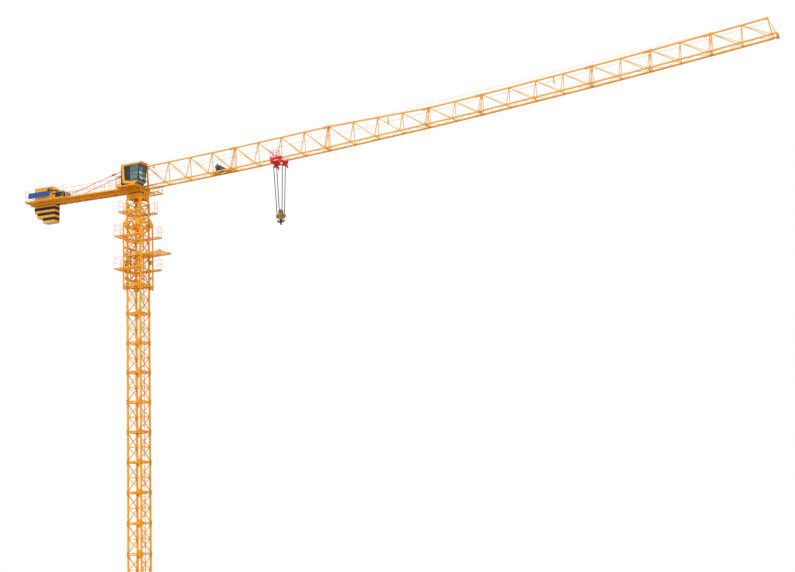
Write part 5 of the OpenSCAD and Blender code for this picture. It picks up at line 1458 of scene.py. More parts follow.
def winch_deck_details():
    """Pale slot plates painted as the light seen through the deck's slots, edge bars and post sockets of the
    winch platform, and the frame behind its board.
    """
    shape = Shape().at(counter_place())
    x0, x1 = -COUNTER_REACH, WALK_REAR
    y = WINCH_DECK_W / 2
    slot_pitch = WINCH_DECK_L / 7
    for m in (-1, 1):
        # Pale plates under the deck's edge: painted light where the slots would show the bright sky
        for k in range(7):
            x = x0 + slot_pitch * (k + 0.5)
            shape.box((x - 0.110, m * (y - 0.175), GIRDER_TOP - 0.002),
                      (x + 0.110, m * (y - 0.012), GIRDER_TOP), "cream")
        shape.box((x0, m * 0.400 - 0.006, GIRDER_TOP - 0.030), (x1, m * 0.400 + 0.006, GIRDER_TOP))
        rail_y = m * (y - 0.010)
        for k in range(4):
            x = x0 + 0.008 + (x1 - x0 - 0.016) * k / 3
            shape.post(x, rail_y, 0.014, 0.012, WINCH_Z, WINCH_Z + 0.05)
            shape.post(x, rail_y, 0.016, 0.016, WINCH_Z + RAIL_H - 0.026, WINCH_Z + RAIL_H + 0.010)
    shape.finish("winch_deck_details", "slewing_part", "crane_orange")

    frame_bars = Shape().at(counter_place())
    y = -WINCH_DECK_W / 2 + 0.010 - RAIL_W / 2 - 0.0103
    sign = (-COUNTER_REACH + 0.210, -COUNTER_REACH + 1.560, GIRDER_TOP + 0.162, GIRDER_TOP + 0.437)
    for x in sign[:2]:
        frame_bars.rib(x, 0.008, (y - 0.004, sign[2] - 0.008), (y + 0.014, sign[3] + 0.008), "blue")
    for z in sign[2:]:
        frame_bars.box((sign[0], y - 0.004, z - 0.008), (sign[1], y + 0.014, z + 0.008), "blue")
    for k in range(1, 4):
        x = sign[0] + (sign[1] - sign[0]) * k / 4
        frame_bars.rib(x, 0.006, (y + 0.010, sign[2]), (y + 0.016, sign[3]), "blue")
    frame_bars.finish("sign_frame", "slewing_part", "board_blue")


def slab_fittings():
    """Hanger bolts and edge angles of the counterweight slabs."""
    shape = Shape().at(counter_place())
    for k in range(SLAB_N):
        x1 = -SLAB_FRONT - k * SLAB_PITCH
        x = x1 - SLAB_T / 2
        for m in (-1, 1):
            shape.tube((x, m * 0.120, GIRDER_TOP - 0.020), (x, m * 0.120, GIRDER_TOP + 0.012),
                       0.012, "zinc", 10)
            shape.box((x - 0.050, m * (SLAB_W / 2 - 0.004), GIRDER_LOW - 0.030),
                      (x + 0.050, m * (SLAB_W / 2 + 0.003), GIRDER_LOW - 0.008), "navy")
            for dx in (-0.030, 0.030):
                shape.bolt((x + dx, m * (SLAB_W / 2 + 0.003), GIRDER_LOW - 0.019), (0, m, 0), 0.014)
    shape.finish("slab_fittings", "slewing_part", "slab_paint")


def hoist_winch_details():
    """Motor fins, gearbox, bolts and rope guard of the hoist winch, and the rope and flanges on its drum."""
    shape = Shape().at(counter_place() @ Matrix.Translation((WINCH_X, 0, WINCH_Z)))
    axle = WINCH_AXLE_RISE
    motor = Vector((-0.290, -DRUM_L / 2, 0.120))
    shape.fins(motor, 0.03, 0.27, 0.098, 24, 0.016)
    shape.lathe([(0.088, 0), (0.100, -0.012), (0.100, -0.050), (0.080, -0.066)], motor,
                (0, 1, 0), "dark", 28)
    shape.lathe([(0.100, 0.300), (0.106, 0.306), (0.106, 0.330), (0.096, 0.336)], motor,
                (0, 1, 0), "grey", 28)
    shape.box(motor + Vector((-0.05, 0.08, 0.095)), motor + Vector((0.05, 0.20, 0.150)), "grey")
    # Gearbox on the far side and its bolts
    gear_y = DRUM_L / 2 + 0.040
    shape.lathe([(0.120, 0), (0.135, 0.006), (0.135, 0.060), (0.110, 0.075), (0.050, 0.080)],
                (0, gear_y, axle), (0, 1, 0), "grey", 36)
    shape.bolt_ring((0, gear_y + 0.060, axle), (0, 1, 0), 0.122, 12, 0.014)
    shape.lathe([(0.060, 0), (0.068, -0.006), (0.068, -0.024), (0.040, -0.030)], (0, -gear_y, axle),
                (0, 1, 0), "grey", 28)
    shape.bolt_ring((0, -gear_y - 0.022, axle), (0, -1, 0), 0.052, 8, 0.012)
    # Rope guard bows over the drum, tied by rods
    guard_r = 0.235
    guard_low, guard_high = -DRUM_L / 2 - 0.018, DRUM_L / 2 + 0.004
    for y in (guard_low, guard_high):
        angles = [math.radians(a) for a in range(-20, 201, 11)]
        path = [(guard_r * math.cos(t), y, axle + guard_r * math.sin(t)) for t in angles]
        shape.sweep(path, 0.009, "grey", 8)
        shape.box((-0.232, y - 0.006, 0.0), (-0.208, y + 0.006, axle - 0.06), "grey")
        shape.box((0.208, y - 0.006, 0.0), (0.232, y + 0.006, axle - 0.06), "grey")
    for a in (20, 65, 115, 160):
        t = math.radians(a)
        x, z = guard_r * math.cos(t), axle + guard_r * math.sin(t)
        shape.tube((x, guard_low, z), (x, guard_high, z), 0.005, "grey", 8)
    shape.finish("hoist_winch_details", "slewing_part", "machine_grey")

    drum = Shape().at(counter_place() @ Matrix.Translation((WINCH_X, 0, WINCH_Z + WINCH_AXLE_RISE)))
    profile = wound_rope(17, DRUM_L - 0.044, DRUM_D / 2 + 0.002, 0, 30)
    drum.lathe(profile, (0, -DRUM_L / 2 + 0.022, 0), (0, 1, 0), "zinc", 48)
    for y in (-DRUM_L / 2, DRUM_L / 2 - 0.020):
        rim = DRUM_FLANGE_D / 2 + 0.002
        drum.lathe([(rim, 0), (rim, 0.020)], (0, y, 0), (0, 1, 0), "grey", 64)
    drum.finish("drum_rope", "winch_drum", "wire_rope")


def cabinet_details():
    """Doors, louvres over dark plates of painted shade, dark bands, a dark foot strip of painted shadow,
    roof seams, hinges and handles of the control cabinet.
    """
    shape = Shape().at(counter_place() @ Matrix.Translation((0, 0, WINCH_Z)))
    x0 = -COUNTER_REACH + 0.310
    x1 = WINCH_X - 0.420
    side_y = 0.250
    roof_z = 0.718
    span = x1 - 0.16 - x0
    for side in (-1, 1):
        y = side * side_y
        for k in range(3):
            a = x0 + 0.02 + span * k / 3
            b = x0 + span * (k + 1) / 3 - 0.01
            louvred = k == 2
            shape.box((a, y, 0.085), (b, y + side * 0.006, 0.680), "orange")
            if louvred:
                # A dark plate behind the louvres is painted shade in their gaps
                shape.box((a + 0.03, y, 0.36), (b - 0.03, y + side * 0.008, 0.66), "dark")
            paint = "dark" if louvred else "orange"
            for j in range(9):
                z = 0.380 + 0.030 * j if louvred else 0.130 + 0.022 * j
                shape.box((a + 0.05, y + side * 0.006, z), (b - 0.05, y + side * 0.014, z + 0.008), paint)
            for z in (0.16, 0.60):
                shape.tube((a + 0.008, y + side * 0.010, z - 0.022),
                           (a + 0.008, y + side * 0.010, z + 0.022), 0.006, "zinc", 8)
            shape.box((b - 0.030, y + side * 0.006, 0.34), (b - 0.016, y + side * 0.020, 0.42), "zinc")
        shape.box((x1 - 0.300, y, 0.470), (x1 - 0.020, y + side * 0.016, 0.545), "dark")
        shape.box((x1 - 0.145, y, 0.300), (x1 - 0.010, y + side * 0.016, 0.365), "dark")
        # A dark strip along the foot of each side is a painted shadow under the cabinet
        shape.box((x0 + 0.020, y, 0.060), (x1, y + side * 0.018, 0.084), "dark")
    for k in range(7):
        x = x0 + 0.05 + (span - 0.05) * k / 6
        shape.rib(x, 0.004, (-0.272, roof_z), (0.272, roof_z + 0.010))
    for low, high in ((0.450, 0.540), (0.300, 0.360)):
        shape.box((x1, -0.235, low), (x1 + 0.016, 0.20, high), "dark")
    # The dark plate behind the end louvres is painted shade in their gaps
    shape.box((x1, -0.20, 0.10), (x1 + 0.006, 0.20, 0.52), "dark")
    for j in range(10):
        shape.box((x1 + 0.004, -0.19, 0.13 + 0.038 * j), (x1 + 0.014, 0.19, 0.142 + 0.038 * j), "grey")
    shape.finish("cabinet_details", "slewing_part", "crane_orange", bevel=0.0015)


def jib_fittings(i):
    """Gussets, joint plates, pins and stops of one jib section."""
    shape = Shape()
    n = PANEL_COUNTS[i]
    s0, s1 = section_span(i)
    length = s1 - s0
    y = JIB_W / 2
    plate = 0.005
    first, last = i == 0, i == LAST_SECTION
    # The three sections next to the tower have the heavier webs
    inner = i < 3
    for k in range(n + 1):
        x = section_lead(i) + k * PANEL_L
        depth = jib_depth(i, k)
        top_x = x + (-TIP_BACK if last and k == n else TOP_LEAD)
        for m in (-1, 1):
            shape.at(section_place(i))
            # Lower node: a plate on the chord's outer face, drawn up between the web bars
            face = m * (y + CHORD_W / 2)
            wide = 0.085 if 0 < k < n and inner else 0.060
            rise = 0.078 if inner else 0.050
            shape.prism([(x - wide, -0.018), (x + wide, -0.018), (x + wide, 0.022), (x + 0.036, rise),
                         (x - 0.020, rise), (x - wide, 0.022)], face - m * 0.004, face + m * plate)
            if inner:
                shape.bar((x, m * y, 0), (top_x, 0, depth), WEB_SHOWN)
                if k < n:
                    shape.bar((x + PANEL_L, m * y, 0), (top_x, 0, depth), WEB_SHOWN)
            # Top node: a plate on each side of the top chord
            side = m * TOP_CHORD_W / 2
            half, drop = (0.080, 0.080) if inner else (0.060, 0.060)
            shape.prism([(top_x - half, depth - 0.012), (top_x + half, depth - 0.012),
                         (top_x + half, depth - 0.036),
                         (top_x + 0.035, depth - drop), (top_x - 0.035, depth - drop),
                         (top_x - half, depth - 0.036)],
                        side - m * 0.003, side + m * plate)
        shape.at(section_place(i))
        shape.rib(x, 0.035, (-y + 0.02, -0.006), (-y + 0.075, 0.006))
        shape.rib(x, 0.035, (y - 0.075, -0.006), (y - 0.02, 0.006))
    # Joint pins and the eyes they go through
    shape.at(section_place(i))
    if not first:
        for m in (-1, 1):
            face = m * (y + CHORD_W / 2)
            shape.box((-0.018, face, -0.024), (0.070, face + m * 0.008, 0.024))
            for x in (0.020, 0.050):
                shape.bolt((x, face + m * 0.008, 0), (0, m, 0), 0.020)
        top = jib_depth(i, 0)
        for m in (-1, 1):
            shape.tube((TOP_LEAD, m * 0.030, top), (TOP_LEAD, m * 0.050, top), 0.020, "orange", 14)
            shape.box((TOP_LEAD - 0.300, m * 0.024, top - 0.048),
                      (TOP_LEAD + 0.030, m * 0.036, top + 0.040), "deck")
    if not last:
        for m in (-1, 1):
            face = m * (y + CHORD_W / 2)
            shape.bolt((length - 0.030, face, 0), (0, m, 0), 0.020)
            shape.bolt((length - 0.056, face, 0), (0, m, 0), 0.020)
    if last:
        for m in (-1, 1):
            shape.box((length - 0.035, m * 0.262, -RAIL_DROP),
                      (length - 0.005, m * 0.300, -RAIL_DROP + 0.050), "red")
            shape.box((length - 0.055, m * 0.268, -RAIL_DROP + 0.008),
                      (length - 0.035, m * 0.296, -RAIL_DROP + 0.040), "rubber")
    shape.finish("jib_section_%d_fittings" % (i + 1), "slewing_part", "crane_orange")


def jib_arc(s0, s1, y, h):
    """Points along the jib's arc, about 0.6 m apart."""
    return [jib_point(s, y, h) for s in spaced(s0, s1, 0.6)]


def jib_ropes():
    """Hoist rope along the jib, safety line, trolley ropes, and the hangers and rollers under them."""
    end = section_span(LAST_SECTION)[1]
    rope = Shape()
    hub = HEAD_PULLEY
    start = [hub + Vector((-0.05, 0, 0.098)), hub + Vector((0.05, 0, 0.098))]
    rope.sweep(start + jib_arc(0.8, end - 0.20, 0, ROPE_RISE), LINE_R, "line", 6)
    winch_rope = counter_place() @ Vector((WINCH_X, 0, WINCH_Z + WINCH_AXLE_RISE + DRUM_D / 2 + 0.012))
    rope.sweep([winch_rope, lerp(winch_rope, start[0], 0.5), start[0]], WINCH_LINE_R, "line", 6)
    rope.sweep([jib_point(0.05, 0, 0.680), jib_point(end / 2, 0, 0.740 + end ** 2 / 8 / CAMBER_R),
                jib_point(end - 0.10, 0, 0.800)],
               SAFETY_LINE_R, "line", 6)
    for y in (-0.045, 0.045):
        rope.sweep(jib_arc(4.45, end + 0.10, y, TROLLEY_LINE_RISE), TROLLEY_LINE_R, "line", 6)
    rope.sweep(jib_arc(0.35, 4.2, 0.045, TROLLEY_LINE_RISE), TROLLEY_LINE_R, "line", 6)
    rope.finish("jib_ropes", "slewing_part", "wire_rope")

    roller = Shape()
    # Hangers, by their distance from the mast's axis and their length
    for x, reach in ((0.98, 0.110), (13.95, 0.280), (22.02, 0.270)):
        s = x - ROOT_X
        depth = JIB_DEEP if x < 11.0 else JIB_SHALLOW
        top, foot = jib_point(s, 0, depth - 0.020), jib_point(s, 0, depth - 0.030 - reach)
        roller.bar(top, foot, 0.060, "deck", 0.040)
        roller.tube(foot + Vector((0, -0.040, 0.012)), foot + Vector((0, 0.040, 0.012)), 0.034, "deck", 16)
    for i, n in enumerate(PANEL_COUNTS):
        roller.at(section_place(i))
        for k in range(0, n + 1, 2):
            x = section_lead(i) + k * PANEL_L
            roller.rib(x, 0.012, (-0.075, 0.010), (0.075, 0.068))
            roller.pin((x, 0, 0.074), 0.075, 0.007, "steel", 8)
    roller.finish("rope_rollers", "slewing_part", "crane_orange")


def jib_tip_details():
    """Sheave groove, rope guard, lugs and the top chord's end block at the jib's tip."""
    s0, s1 = section_span(LAST_SECTION)
    box_x = s1 - s0 + TIP_L - 0.024
    sheave = Vector((box_x - 0.021, 0, -0.105))
    shape = Shape().at(section_place(LAST_SECTION))
    shape.lathe([(0.070, -0.012), (0.078, -0.012), (0.064, 0), (0.078, 0.012), (0.070, 0.012)], sheave,
                (0, 1, 0), "steel", 32)
    for m in (-1, 1):
        shape.tube(sheave + Vector((0, m * 0.034, 0)), sheave + Vector((0, m * 0.046, 0)),
                   0.018, "zinc", 12)
        shape.box((box_x - 0.10, m * 0.22, -0.020), (box_x, m * 0.26, -0.012))
    # End block of the top chord
    end = s1 - s0 - TIP_BACK
    shape.box((end - 0.060, -0.036, JIB_SHALLOW - 0.050), (end + 0.040, 0.036, JIB_SHALLOW + 0.042), "deck")
    shape.finish("jib_tip_details", "slewing_part", "crane_orange")


def trolley_winch():
    """The trolley winch: orange platform, side plates, drum with its rope, motor, box, bolts and fins."""
    base = 0.042
    shape = Shape().at(section_place(0) @ Matrix.Translation((4.165, 0, base)))
    centre = Vector((0.150, 0, 0.170))
    for a, b in ((-0.280, 0.060), (0.373, 0.775)):
        shape.box((a, -JIB_W / 2, -base + CHORD_W / 2), (b, JIB_W / 2, 0))
    cheek = [(0, 0), (0, 0.100), (0.060, 0.395), (0.110, 0.395), (0.175, 0.318), (0.330, 0.240),
             (0.360, 0.184), (0.455, 0.098), (0.455, 0)]
    for y in (-0.120, 0.170):
        shape.prism(cheek, y - 0.010, y + 0.010, "grey")
    shape.tube((0.150, -0.120, 0.170), (0.150, 0.170, 0.170), 0.115, "grey", 40)
    shape.tube((0.165, -0.195, 0.170), (0.165, -0.125, 0.170), 0.065, "grey", 28)
    shape.box((0.480, -0.120, 0), (0.640, 0.120, 0.060), "grey")
    shape.lathe(wound_rope(14, 0.250, 0.116, -0.100, 36), centre, (0, 1, 0), "rope", 36)
    for y in (-0.106, 0.154):
        shape.lathe([(0.145, 0), (0.145, 0.010)], centre + Vector((0, y, 0)), (0, 1, 0), "grey", 36)
    shape.lathe([(0.060, 0), (0.076, 0.01), (0.076, 0.11), (0.060, 0.13)],
                centre + Vector((0, -0.195 - 0.13, 0)), (0, 1, 0), "grey", 28)
    shape.fins(centre, -0.31, -0.215, 0.080, 18, 0.012)
    for yy in (-0.132, 0.182):
        m = -1 if yy < 0 else 1
        shape.bolt_ring(centre + Vector((0, yy, 0)), (0, m, 0), 0.060, 6, 0.014)
        for x, z in ((0.04, 0.05), (0.30, 0.05), (0.42, 0.05), (0.09, 0.34), (0.28, 0.22)):
            shape.bolt((x, yy, z), (0, m, 0), 0.014)
    shape.box((0.485, -0.125, 0.060), (0.635, 0.125, 0.066), "dark")
    for x in (0.50, 0.62):
        shape.bolt((x, -0.09, 0.066), (0, 0, 1), 0.012)
    for x in (-0.11, 0.75):
        for y in (-0.20, 0.20):
            shape.bolt((x, y, 0.0), (0, 0, 1), 0.018)
    shape.finish("trolley_winch_shown", "slewing_part", "machine_grey", replaces=("trolley_winch",))


def trolley_fittings():
    """Wheel flanges, guide rollers, bolts, gussets, horns and sheave grooves of the trolley."""
    shape = Shape().at(trolley_place())
    side_y = WHEEL_Y + WHEEL_W / 2 + 0.014
    low = AXLE_Z - TROLLEY_H
    for m in (-1, 1):
        for x in (-WHEELBASE / 2, WHEELBASE / 2):
            shape.lathe([(0.047, 0), (0.056, 0.002), (0.056, 0.007), (0.020, 0.009)],
                        (x, m * (WHEEL_Y + WHEEL_W / 2), AXLE_Z), (0, m, 0), "steel", 28)
            shape.bolt_ring((x, m * (side_y + 0.008), AXLE_Z), (0, m, 0), 0.024, 5, 0.011)
            shape.box((x - 0.040, m * (side_y - 0.010), low + 0.045),
                      (x - 0.034, m * (side_y - 0.040), AXLE_Z - 0.082), "red")
            # Side guide roller under the rail's edge
            roller = Vector((x + 0.02 * (1 if x < 0 else -1) * 3, m * (side_y - 0.030), -RAIL_DROP - 0.052))
            shape.pin(roller, 0.014, 0.020, "steel", 16)
            shape.tube(roller, roller + Vector((0, m * 0.026, 0)), 0.007, "zinc", 8)
        for x in (-0.26, -0.16, 0.16, 0.26):
            shape.bolt((x, m * (side_y + 0.008), low + 0.022), (0, m, 0), 0.014)
    for x in (-TROLLEY_SHEAVE_PITCH / 2, TROLLEY_SHEAVE_PITCH / 2):
        axle = -SHEAVE_DROP
        for m in (-1, 1):
            shape.prism([(x + 0.036, axle - 0.030), (x + 0.150, axle - 0.170), (x + 0.190, axle - 0.240),
                         (x + 0.207, axle - 0.235), (x + 0.190, axle - 0.060), (x + 0.100, axle + 0.050),
                         (x, axle + 0.060)],
                        m * 0.026, m * 0.034, "red")
        hub = Vector((x, 0, -SHEAVE_DROP))
        r = TROLLEY_SHEAVE_D / 2
        shape.lathe([(r - 0.016, -0.013), (r + 0.004, -0.018), (r + 0.004, -0.014), (r - 0.013, -0.004),
                     (r - 0.013, 0.004), (r + 0.004, 0.014), (r + 0.004, 0.018), (r - 0.016, 0.013)], hub,
                    (0, 1, 0), "steel", 40)
        for m in (-1, 1):
            shape.lathe([(0.030, 0), (0.030, 0.006), (0.018, 0.010)], hub + Vector((0, m * 0.032, 0)),
                        (0, m, 0), "zinc", 20)
    shape.finish("trolley_fittings", "trolley", "signal_red")


def basket_details():
    """Floor bars, edge strips and post caps of the trolley's basket."""
    shape = Shape().at(trolley_place())
    y1 = -WHEEL_Y - WHEEL_W / 2 - 0.0223
    y0 = y1 - 0.300
    x0, x1 = -0.145, 0.230
    z = -0.235
    for k in range(6):
        x = x0 + 0.02 + (x1 - x0 - 0.04) * k / 5
        shape.rib(x, 0.006, (y0, z - 0.026), (y1, z - 0.010), "red")
    for y in (y0, y1 - 0.003):
        shape.box((x0, y, z - 0.010), (x1, y + 0.003, z + 0.022), "red")
    for x in (x0 + 0.007, x1 - 0.007):
        for y in (y0 + 0.007, y1 - 0.007):
            shape.tube((x, y, z + RAIL_H - 0.010), (x, y, z + RAIL_H + 0.004), 0.010, "red", 10)
    shape.finish("basket_details", "trolley", "signal_red")


def rope_strands():
    """The four rope falls as twisted wire rope, from the trolley's sheaves to the hook block's."""
    shape = Shape()
    top_z = TROLLEY_Z - SHEAVE_DROP
    rings = 150
    for side in (-1, 1):
        for k in (-1, 1):
            a = Vector((HANG_X + side * (TROLLEY_SHEAVE_PITCH + k * TROLLEY_SHEAVE_D) / 2, 0, top_z))
            b = Vector((HANG_X + side * (BLOCK_SHEAVE_PITCH + k * BLOCK_SHEAVE_D) / 2, 0, BLOCK_Z))
            shape.sweep([lerp(a, b, t / rings) for t in range(rings + 1)], ROPE_D / 2, "fall", 12, 6, 0.20)
    piece = shape.finish("rope_strands", None, "wire_rope", replaces=("hoist_ropes",))
    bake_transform(piece)


def hook_block():
    """The hook block: two cheek plates on three lobes, cross-piece, pins and bolts, and its sheaves."""
    shape = Shape().at(Matrix.Translation((HANG_X, 0, BLOCK_Z)))
    outer = CHEEK_GAP / 2 + CHEEK_T
    half = BLOCK_SHEAVE_PITCH / 2
    r = CHEEK_D / 2
    lobes = ((-half, 0), (half, 0), (0, BLOCK_RISE))
    # Centre, half width and half height of the hand holes, drawn as dark plates of painted shade on the
    # cheeks
    shaded_hand_holes = ((-0.012, 0.105, 0.034, 0.026), (0.010, -0.010, 0.020, 0.052),
                  (0.012, -0.105, 0.044, 0.020))
    outline = [(-0.060, -0.150), (0.060, -0.150), (half, -0.075), (0.110, 0.050), (0.062, 0.130),
               (0.062, BLOCK_RISE), (-0.062, BLOCK_RISE), (-0.062, 0.130), (-0.110, 0.050), (-half, -0.075)]
    for m in (-1, 1):
        shape.prism(outline, m * CHEEK_GAP / 2, m * (outer - 0.001), "ochre")
        for x, z in lobes:
            shape.tube((x, m * CHEEK_GAP / 2, z), (x, m * outer, z), r, "ochre", 40, smooth=False)
        for x, z, wide, high in shaded_hand_holes:
            shape.box((x - wide, m * (outer - 0.001), z - high),
                      (x + wide, m * (outer + 0.0012), z + high), "dark")
    shape.box((-0.060, -CHEEK_GAP / 2, -0.150), (0.060, CHEEK_GAP / 2, -0.095), "ochre")
    for x, z in lobes:
        shape.tube((x, -outer - 0.006, z), (x, outer + 0.006, z), 0.020, "steel", 20)
        for m in (-1, 1):
            shape.lathe([(0.046, 0), (0.050, 0.003), (0.046, 0.007), (0.022, 0.012)], (x, m * outer, z),
                        (0, m, 0), "dark", 28)
            shape.bolt_ring((x, m * (outer + 0.006), z), (0, m, 0), 0.034, 6, 0.012)
    for x, z in ((-0.205, -0.020), (0.205, -0.020), (-0.110, -0.085), (0.110, -0.085), (-0.080, 0.250),
                 (0.080, 0.250)):
        shape.tube((x, -outer, z), (x, outer, z), 0.008, "zinc", 10)
        for m in (-1, 1):
            shape.bolt((x, m * outer, z), (0, m, 0), 0.016)
    for m in (-1, 1):
        shape.box((-0.066, m * outer, -0.150), (0.066, m * (outer + 0.010), -0.092), "ochre")
        for x in (-0.045, 0.045):
            shape.bolt((x, m * (outer + 0.010), -0.121), (0, m, 0), 0.018)
    shape.finish("hook_block_shown", "hook_block", "block_ochre", replaces=("hook_block",), bevel=0.001)

    sheaves = Shape().at(Matrix.Translation((HANG_X, 0, BLOCK_Z)))
    rim = BLOCK_SHEAVE_D / 2
    for x, z in lobes:
        sheaves.lathe([(0.032, -0.041), (0.032, -0.024), (rim + 0.014, -0.024), (rim + 0.016, -0.020),
                       (rim - 0.018, -0.008),
                       (rim - 0.018, 0.008), (rim + 0.016, 0.020), (rim + 0.014, 0.024), (0.032, 0.024),
                       (0.032, 0.041)],
                      (x, 0, z), (0, 1, 0), "steel", 48)
    sheaves.finish("hook_sheaves_shown", "hook_block", "bare_steel", replaces=("hook_sheaves",))


def horn_half_thickness(share):
    """Half the thickness of a horn at a share of its length, thin only towards the tip."""
    if share < 0.75:
        return HORN_D / 2 * (1.12 - 0.25 * share)
    return HORN_D / 2 * (0.93 * (1.0 - 1.8 * (share - 0.75)))


def double_hook():
    """The double hook: shank, nut, forged body, two horns with tapered tips, eye and latches."""
    shape = Shape().at(Matrix.Translation((HANG_X, 0, BLOCK_Z)))
    low = -0.190
    shape.tube((0, 0, low), (0, 0, -0.070), SHANK_D / 2, "black", 32)
    shape.lathe([(0.035, -0.095), (0.035, -0.062), (0.020, -0.056)], (0, 0, 0), (0, 0, 1), "steel",
                6, smooth=False)
    shape.lathe([(0.020, -0.385), (0.032, -0.372), (0.042, -0.310), (0.060, -0.230), (0.058, -0.190),
                 (0.030, -0.150)],
                (0, 0, 0), (0, 0, 1), "black", 32)
    for m in (-1, 1):
        centre = Vector((m * (HORN_R + 0.006), 0, low))
        # Each horn is a little more than half a ring, flattened to this share of its height
        bend, flat = 1.06, 0.85
        steps, sides = 26, 20
        points = []
        for k in range(steps + 1):
            t = math.pi * (1 + bend * k / steps) if m > 0 else -math.pi * bend * k / steps
            out = Vector((math.cos(t), 0, math.sin(t)))
            thick = horn_half_thickness(k / steps)
            for j in range(sides):
                a = 2 * math.pi * j / sides
                spot = centre + out * (HORN_R + thick * math.cos(a))
                points.append(spot + Vector((0, thick * flat * math.sin(a), 0)))
        faces = [(k * sides + j, k * sides + (j + 1) % sides, (k + 1) * sides + (j + 1) % sides,
                  (k + 1) * sides + j)
                 for k in range(steps) for j in range(sides)]
        shape.add(points, faces, "black", True)
        shape.add(points, [tuple(range(sides)), tuple(range(steps * sides, (steps + 1) * sides))], "black")
    # Eye under the body, for a rope that steadies the load
    shape.lathe([(0.022, -0.018), (0.046, -0.018), (0.050, -0.010), (0.050, 0.010), (0.046, 0.018),
                 (0.022, 0.018), (0.022, -0.018)], (0, 0, -0.378), (0, 1, 0), "black", 32)
    shape.finish("hook_shown", "hook", "hook_black", replaces=("hook",))

    latch = Shape().at(Matrix.Translation((HANG_X, 0, BLOCK_Z)))
    for m in (-1, 1):
        root = Vector((m * 0.034, 0, low + 0.030))
        tip = Vector((m * (2 * HORN_R - 0.006), 0, low + 0.006))
        for y in (-0.014, 0.014):
            latch.bar(root + Vector((0, y, 0)), tip + Vector((0, y, 0)), 0.004, "steel", 0.018)
        latch.pin(root, 0.020, 0.007, "steel", 10)
    latch.finish("hook_latches", "hook", "hook_black")


def foundation_details():
    """Weld stiffeners on the foundation cross, and anchor bolts with nuts in its feet."""
    shape = Shape()
    foot_c = (FOOT_REACH - FOOT_INSET) * math.cos(math.radians(45))
    for quarter in QUARTERS:
        shape.at(quarter)
        for k in (-1, 1):
            shape.bolt((-foot_c + k * 0.110, -foot_c - k * 0.110, 0.040), (0, 0, 1), 0.058)
        shape.at(quarter @ turned(math.radians(45)))
        for r in (0.70, 0.95, 1.20):
            for m in (-1, 1):
                shape.prism([(r - 0.006, 0.0), (r + 0.006, 0.0), (r + 0.006, 0.170), (r - 0.006, 0.170)],
                            m * 0.075, m * 0.100)
        shape.box((0.55, -0.090, 0.178), (FOOT_REACH, 0.090, 0.184))
    shape.finish("foundation_details", "tower", "crane_orange")


def add_camera():
    """The camera fitted to the photograph."""
    azimuth, elevation, roll = (math.radians(a) for a in (CAMERA_AZIMUTH, CAMERA_ELEVATION, CAMERA_ROLL))
    back = Vector((math.sin(azimuth) * math.cos(elevation), -math.cos(azimuth) * math.cos(elevation),
                   math.sin(elevation)))
    right = Vector((math.cos(azimuth), math.sin(azimuth), 0.0))
    up = back.cross(right)
    x = math.cos(roll) * right + math.sin(roll) * up
    y = -math.sin(roll) * right + math.cos(roll) * up
    data = bpy.data.cameras.new("photo_camera")
    data.sensor_width = SENSOR_MM
    data.lens = FOCAL_PX * SENSOR_MM / IMAGE_W
    data.clip_end = 500.0
    camera = bpy.data.objects.new("photo_camera", data)
    camera.matrix_world = Matrix.Translation(CAMERA_POS) @ Matrix((x, y, back)).transposed().to_4x4()
    bpy.context.scene.collection.objects.link(camera)
    bpy.context.scene.camera = camera


def add_sun(name, direction, strength, angle):
    """A sun lamp that shines from a direction, with a soft edge of so many degrees."""
    data = bpy.data.lights.new(name, "SUN")
    data.energy = strength
    data.angle = math.radians(angle)
    lamp = bpy.data.objects.new(name, data)
    lamp.rotation_euler = Vector(direction).to_track_quat("Z", "Y").to_euler()
    bpy.context.scene.collection.objects.link(lamp)


def seen_ray(tree):
    """1 for rays from the camera, a mirror or glass, and 0 for rays that light the part."""
    path = tree.nodes.new("ShaderNodeLightPath")
    total = path.outputs["Is Camera Ray"]
    for key in ("Is Glossy Ray", "Is Transmission Ray"):
        node = tree.nodes.new("ShaderNodeMath")
        node.operation = "MAXIMUM"
        tree.links.new(total, node.inputs[0])
        tree.links.new(path.outputs[key], node.inputs[1])
        total = node.outputs[0]
    return total


def show_and_light(tree, lit, seen, end):
    """Ends a node tree with one shader that lights the part and another that is seen."""
    mix = tree.nodes.new("ShaderNodeMixShader")
    tree.links.new(seen_ray(tree), mix.inputs[0])
    tree.links.new(lit.outputs[0], mix.inputs[1])
    tree.links.new(seen.outputs[0], mix.inputs[2])
    tree.links.new(mix.outputs[0], tree.nodes[end].inputs[0])


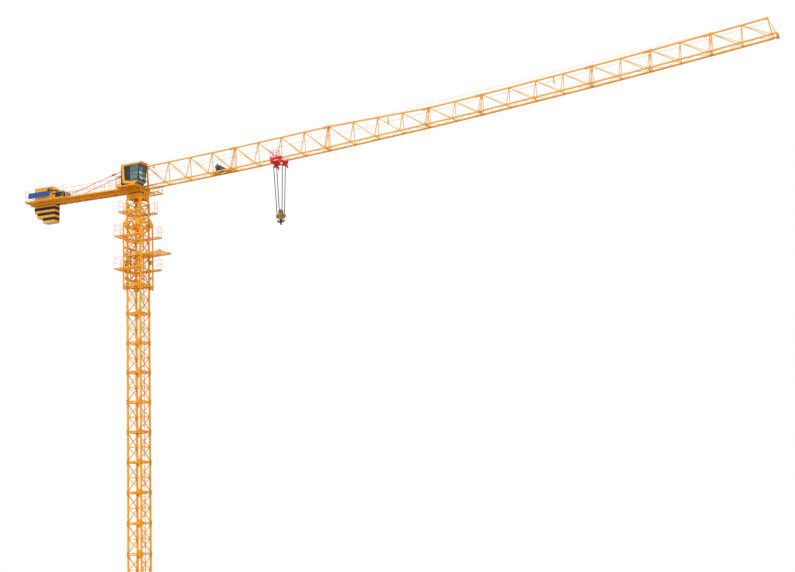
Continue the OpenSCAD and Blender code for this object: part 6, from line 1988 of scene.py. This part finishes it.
def add_studio():
    """White world and floor, one large soft key lamp and a weak fill."""
    world = bpy.data.worlds.new("studio")
    bpy.context.scene.world = world
    world.use_nodes = True
    tree = world.node_tree
    lit = tree.nodes["Background"]
    lit.inputs[0].default_value = WHITE
    lit.inputs[1].default_value = WORLD_LIGHT
    white = tree.nodes.new("ShaderNodeBackground")
    white.inputs[0].default_value = WHITE
    white.inputs[1].default_value = 1.0
    show_and_light(tree, lit, white, "World Output")
    add_sun("key", (-0.35, -0.75, 0.75), KEY_LIGHT, 25.0)
    add_sun("fill", (0.9, -0.35, 0.35), FILL_LIGHT, 40.0)

    mesh = bpy.data.meshes.new("floor")
    far = FLOOR_HALF
    corners = [(-far, -far), (far, -far), (far, far), (-far, far)]
    mesh.from_pydata([(x, y, FLOOR_Z) for x, y in corners], [], [(0, 1, 2, 3)])
    floor = bpy.data.objects.new("floor", mesh)
    bpy.context.scene.collection.objects.link(floor)
    material = bpy.data.materials.new("floor_white")
    material.use_nodes = True
    tree = material.node_tree
    tree.nodes.remove(tree.nodes["Principled BSDF"])
    diffuse = tree.nodes.new("ShaderNodeBsdfDiffuse")
    diffuse.inputs[0].default_value = FLOOR_GREY
    glow = tree.nodes.new("ShaderNodeEmission")
    glow.inputs[0].default_value = WHITE
    show_and_light(tree, diffuse, glow, "Material Output")
    mesh.materials.append(material)


dress_nodes()
foundation_details()
mast_fittings()
ring_platform("working_platform_low", MAST_TOP - WORK_LOW, WORK_SIDE, CLIMB_SIDE + CLIMB_LEG_W, 4)
ring_platform("working_platform_high", MAST_TOP - WORK_HIGH, WORK_SIDE, CLIMB_SIDE + CLIMB_LEG_W, 4)
ring_platform("tower_top_platform", MAST_TOP + TOP_WORK_RISE, TOP_WORK_SIDE, MAST_SIDE + LEG_W, 4)
climbing_frame()
climbing_fittings()
loading_platform_details()
tower_top_fittings()
slewing_support()
slewing_fittings()
tower_head_fittings()
root_platform()
cab_shell()
cab_glazing()
cab_panels()
cab_interior()
cab_platform_details()
counter_jib_fittings()
counter_jib_stays()
winch_deck_details()
slab_fittings()
hoist_winch_details()
cabinet_details()
for section in range(len(PANEL_COUNTS)):
    jib_fittings(section)
jib_ropes()
jib_tip_details()
trolley_winch()
trolley_fittings()
basket_details()
rope_strands()
hook_block()
double_hook()

add_camera()
add_studio()
bpy.context.scene.view_settings.view_transform = "Standard"
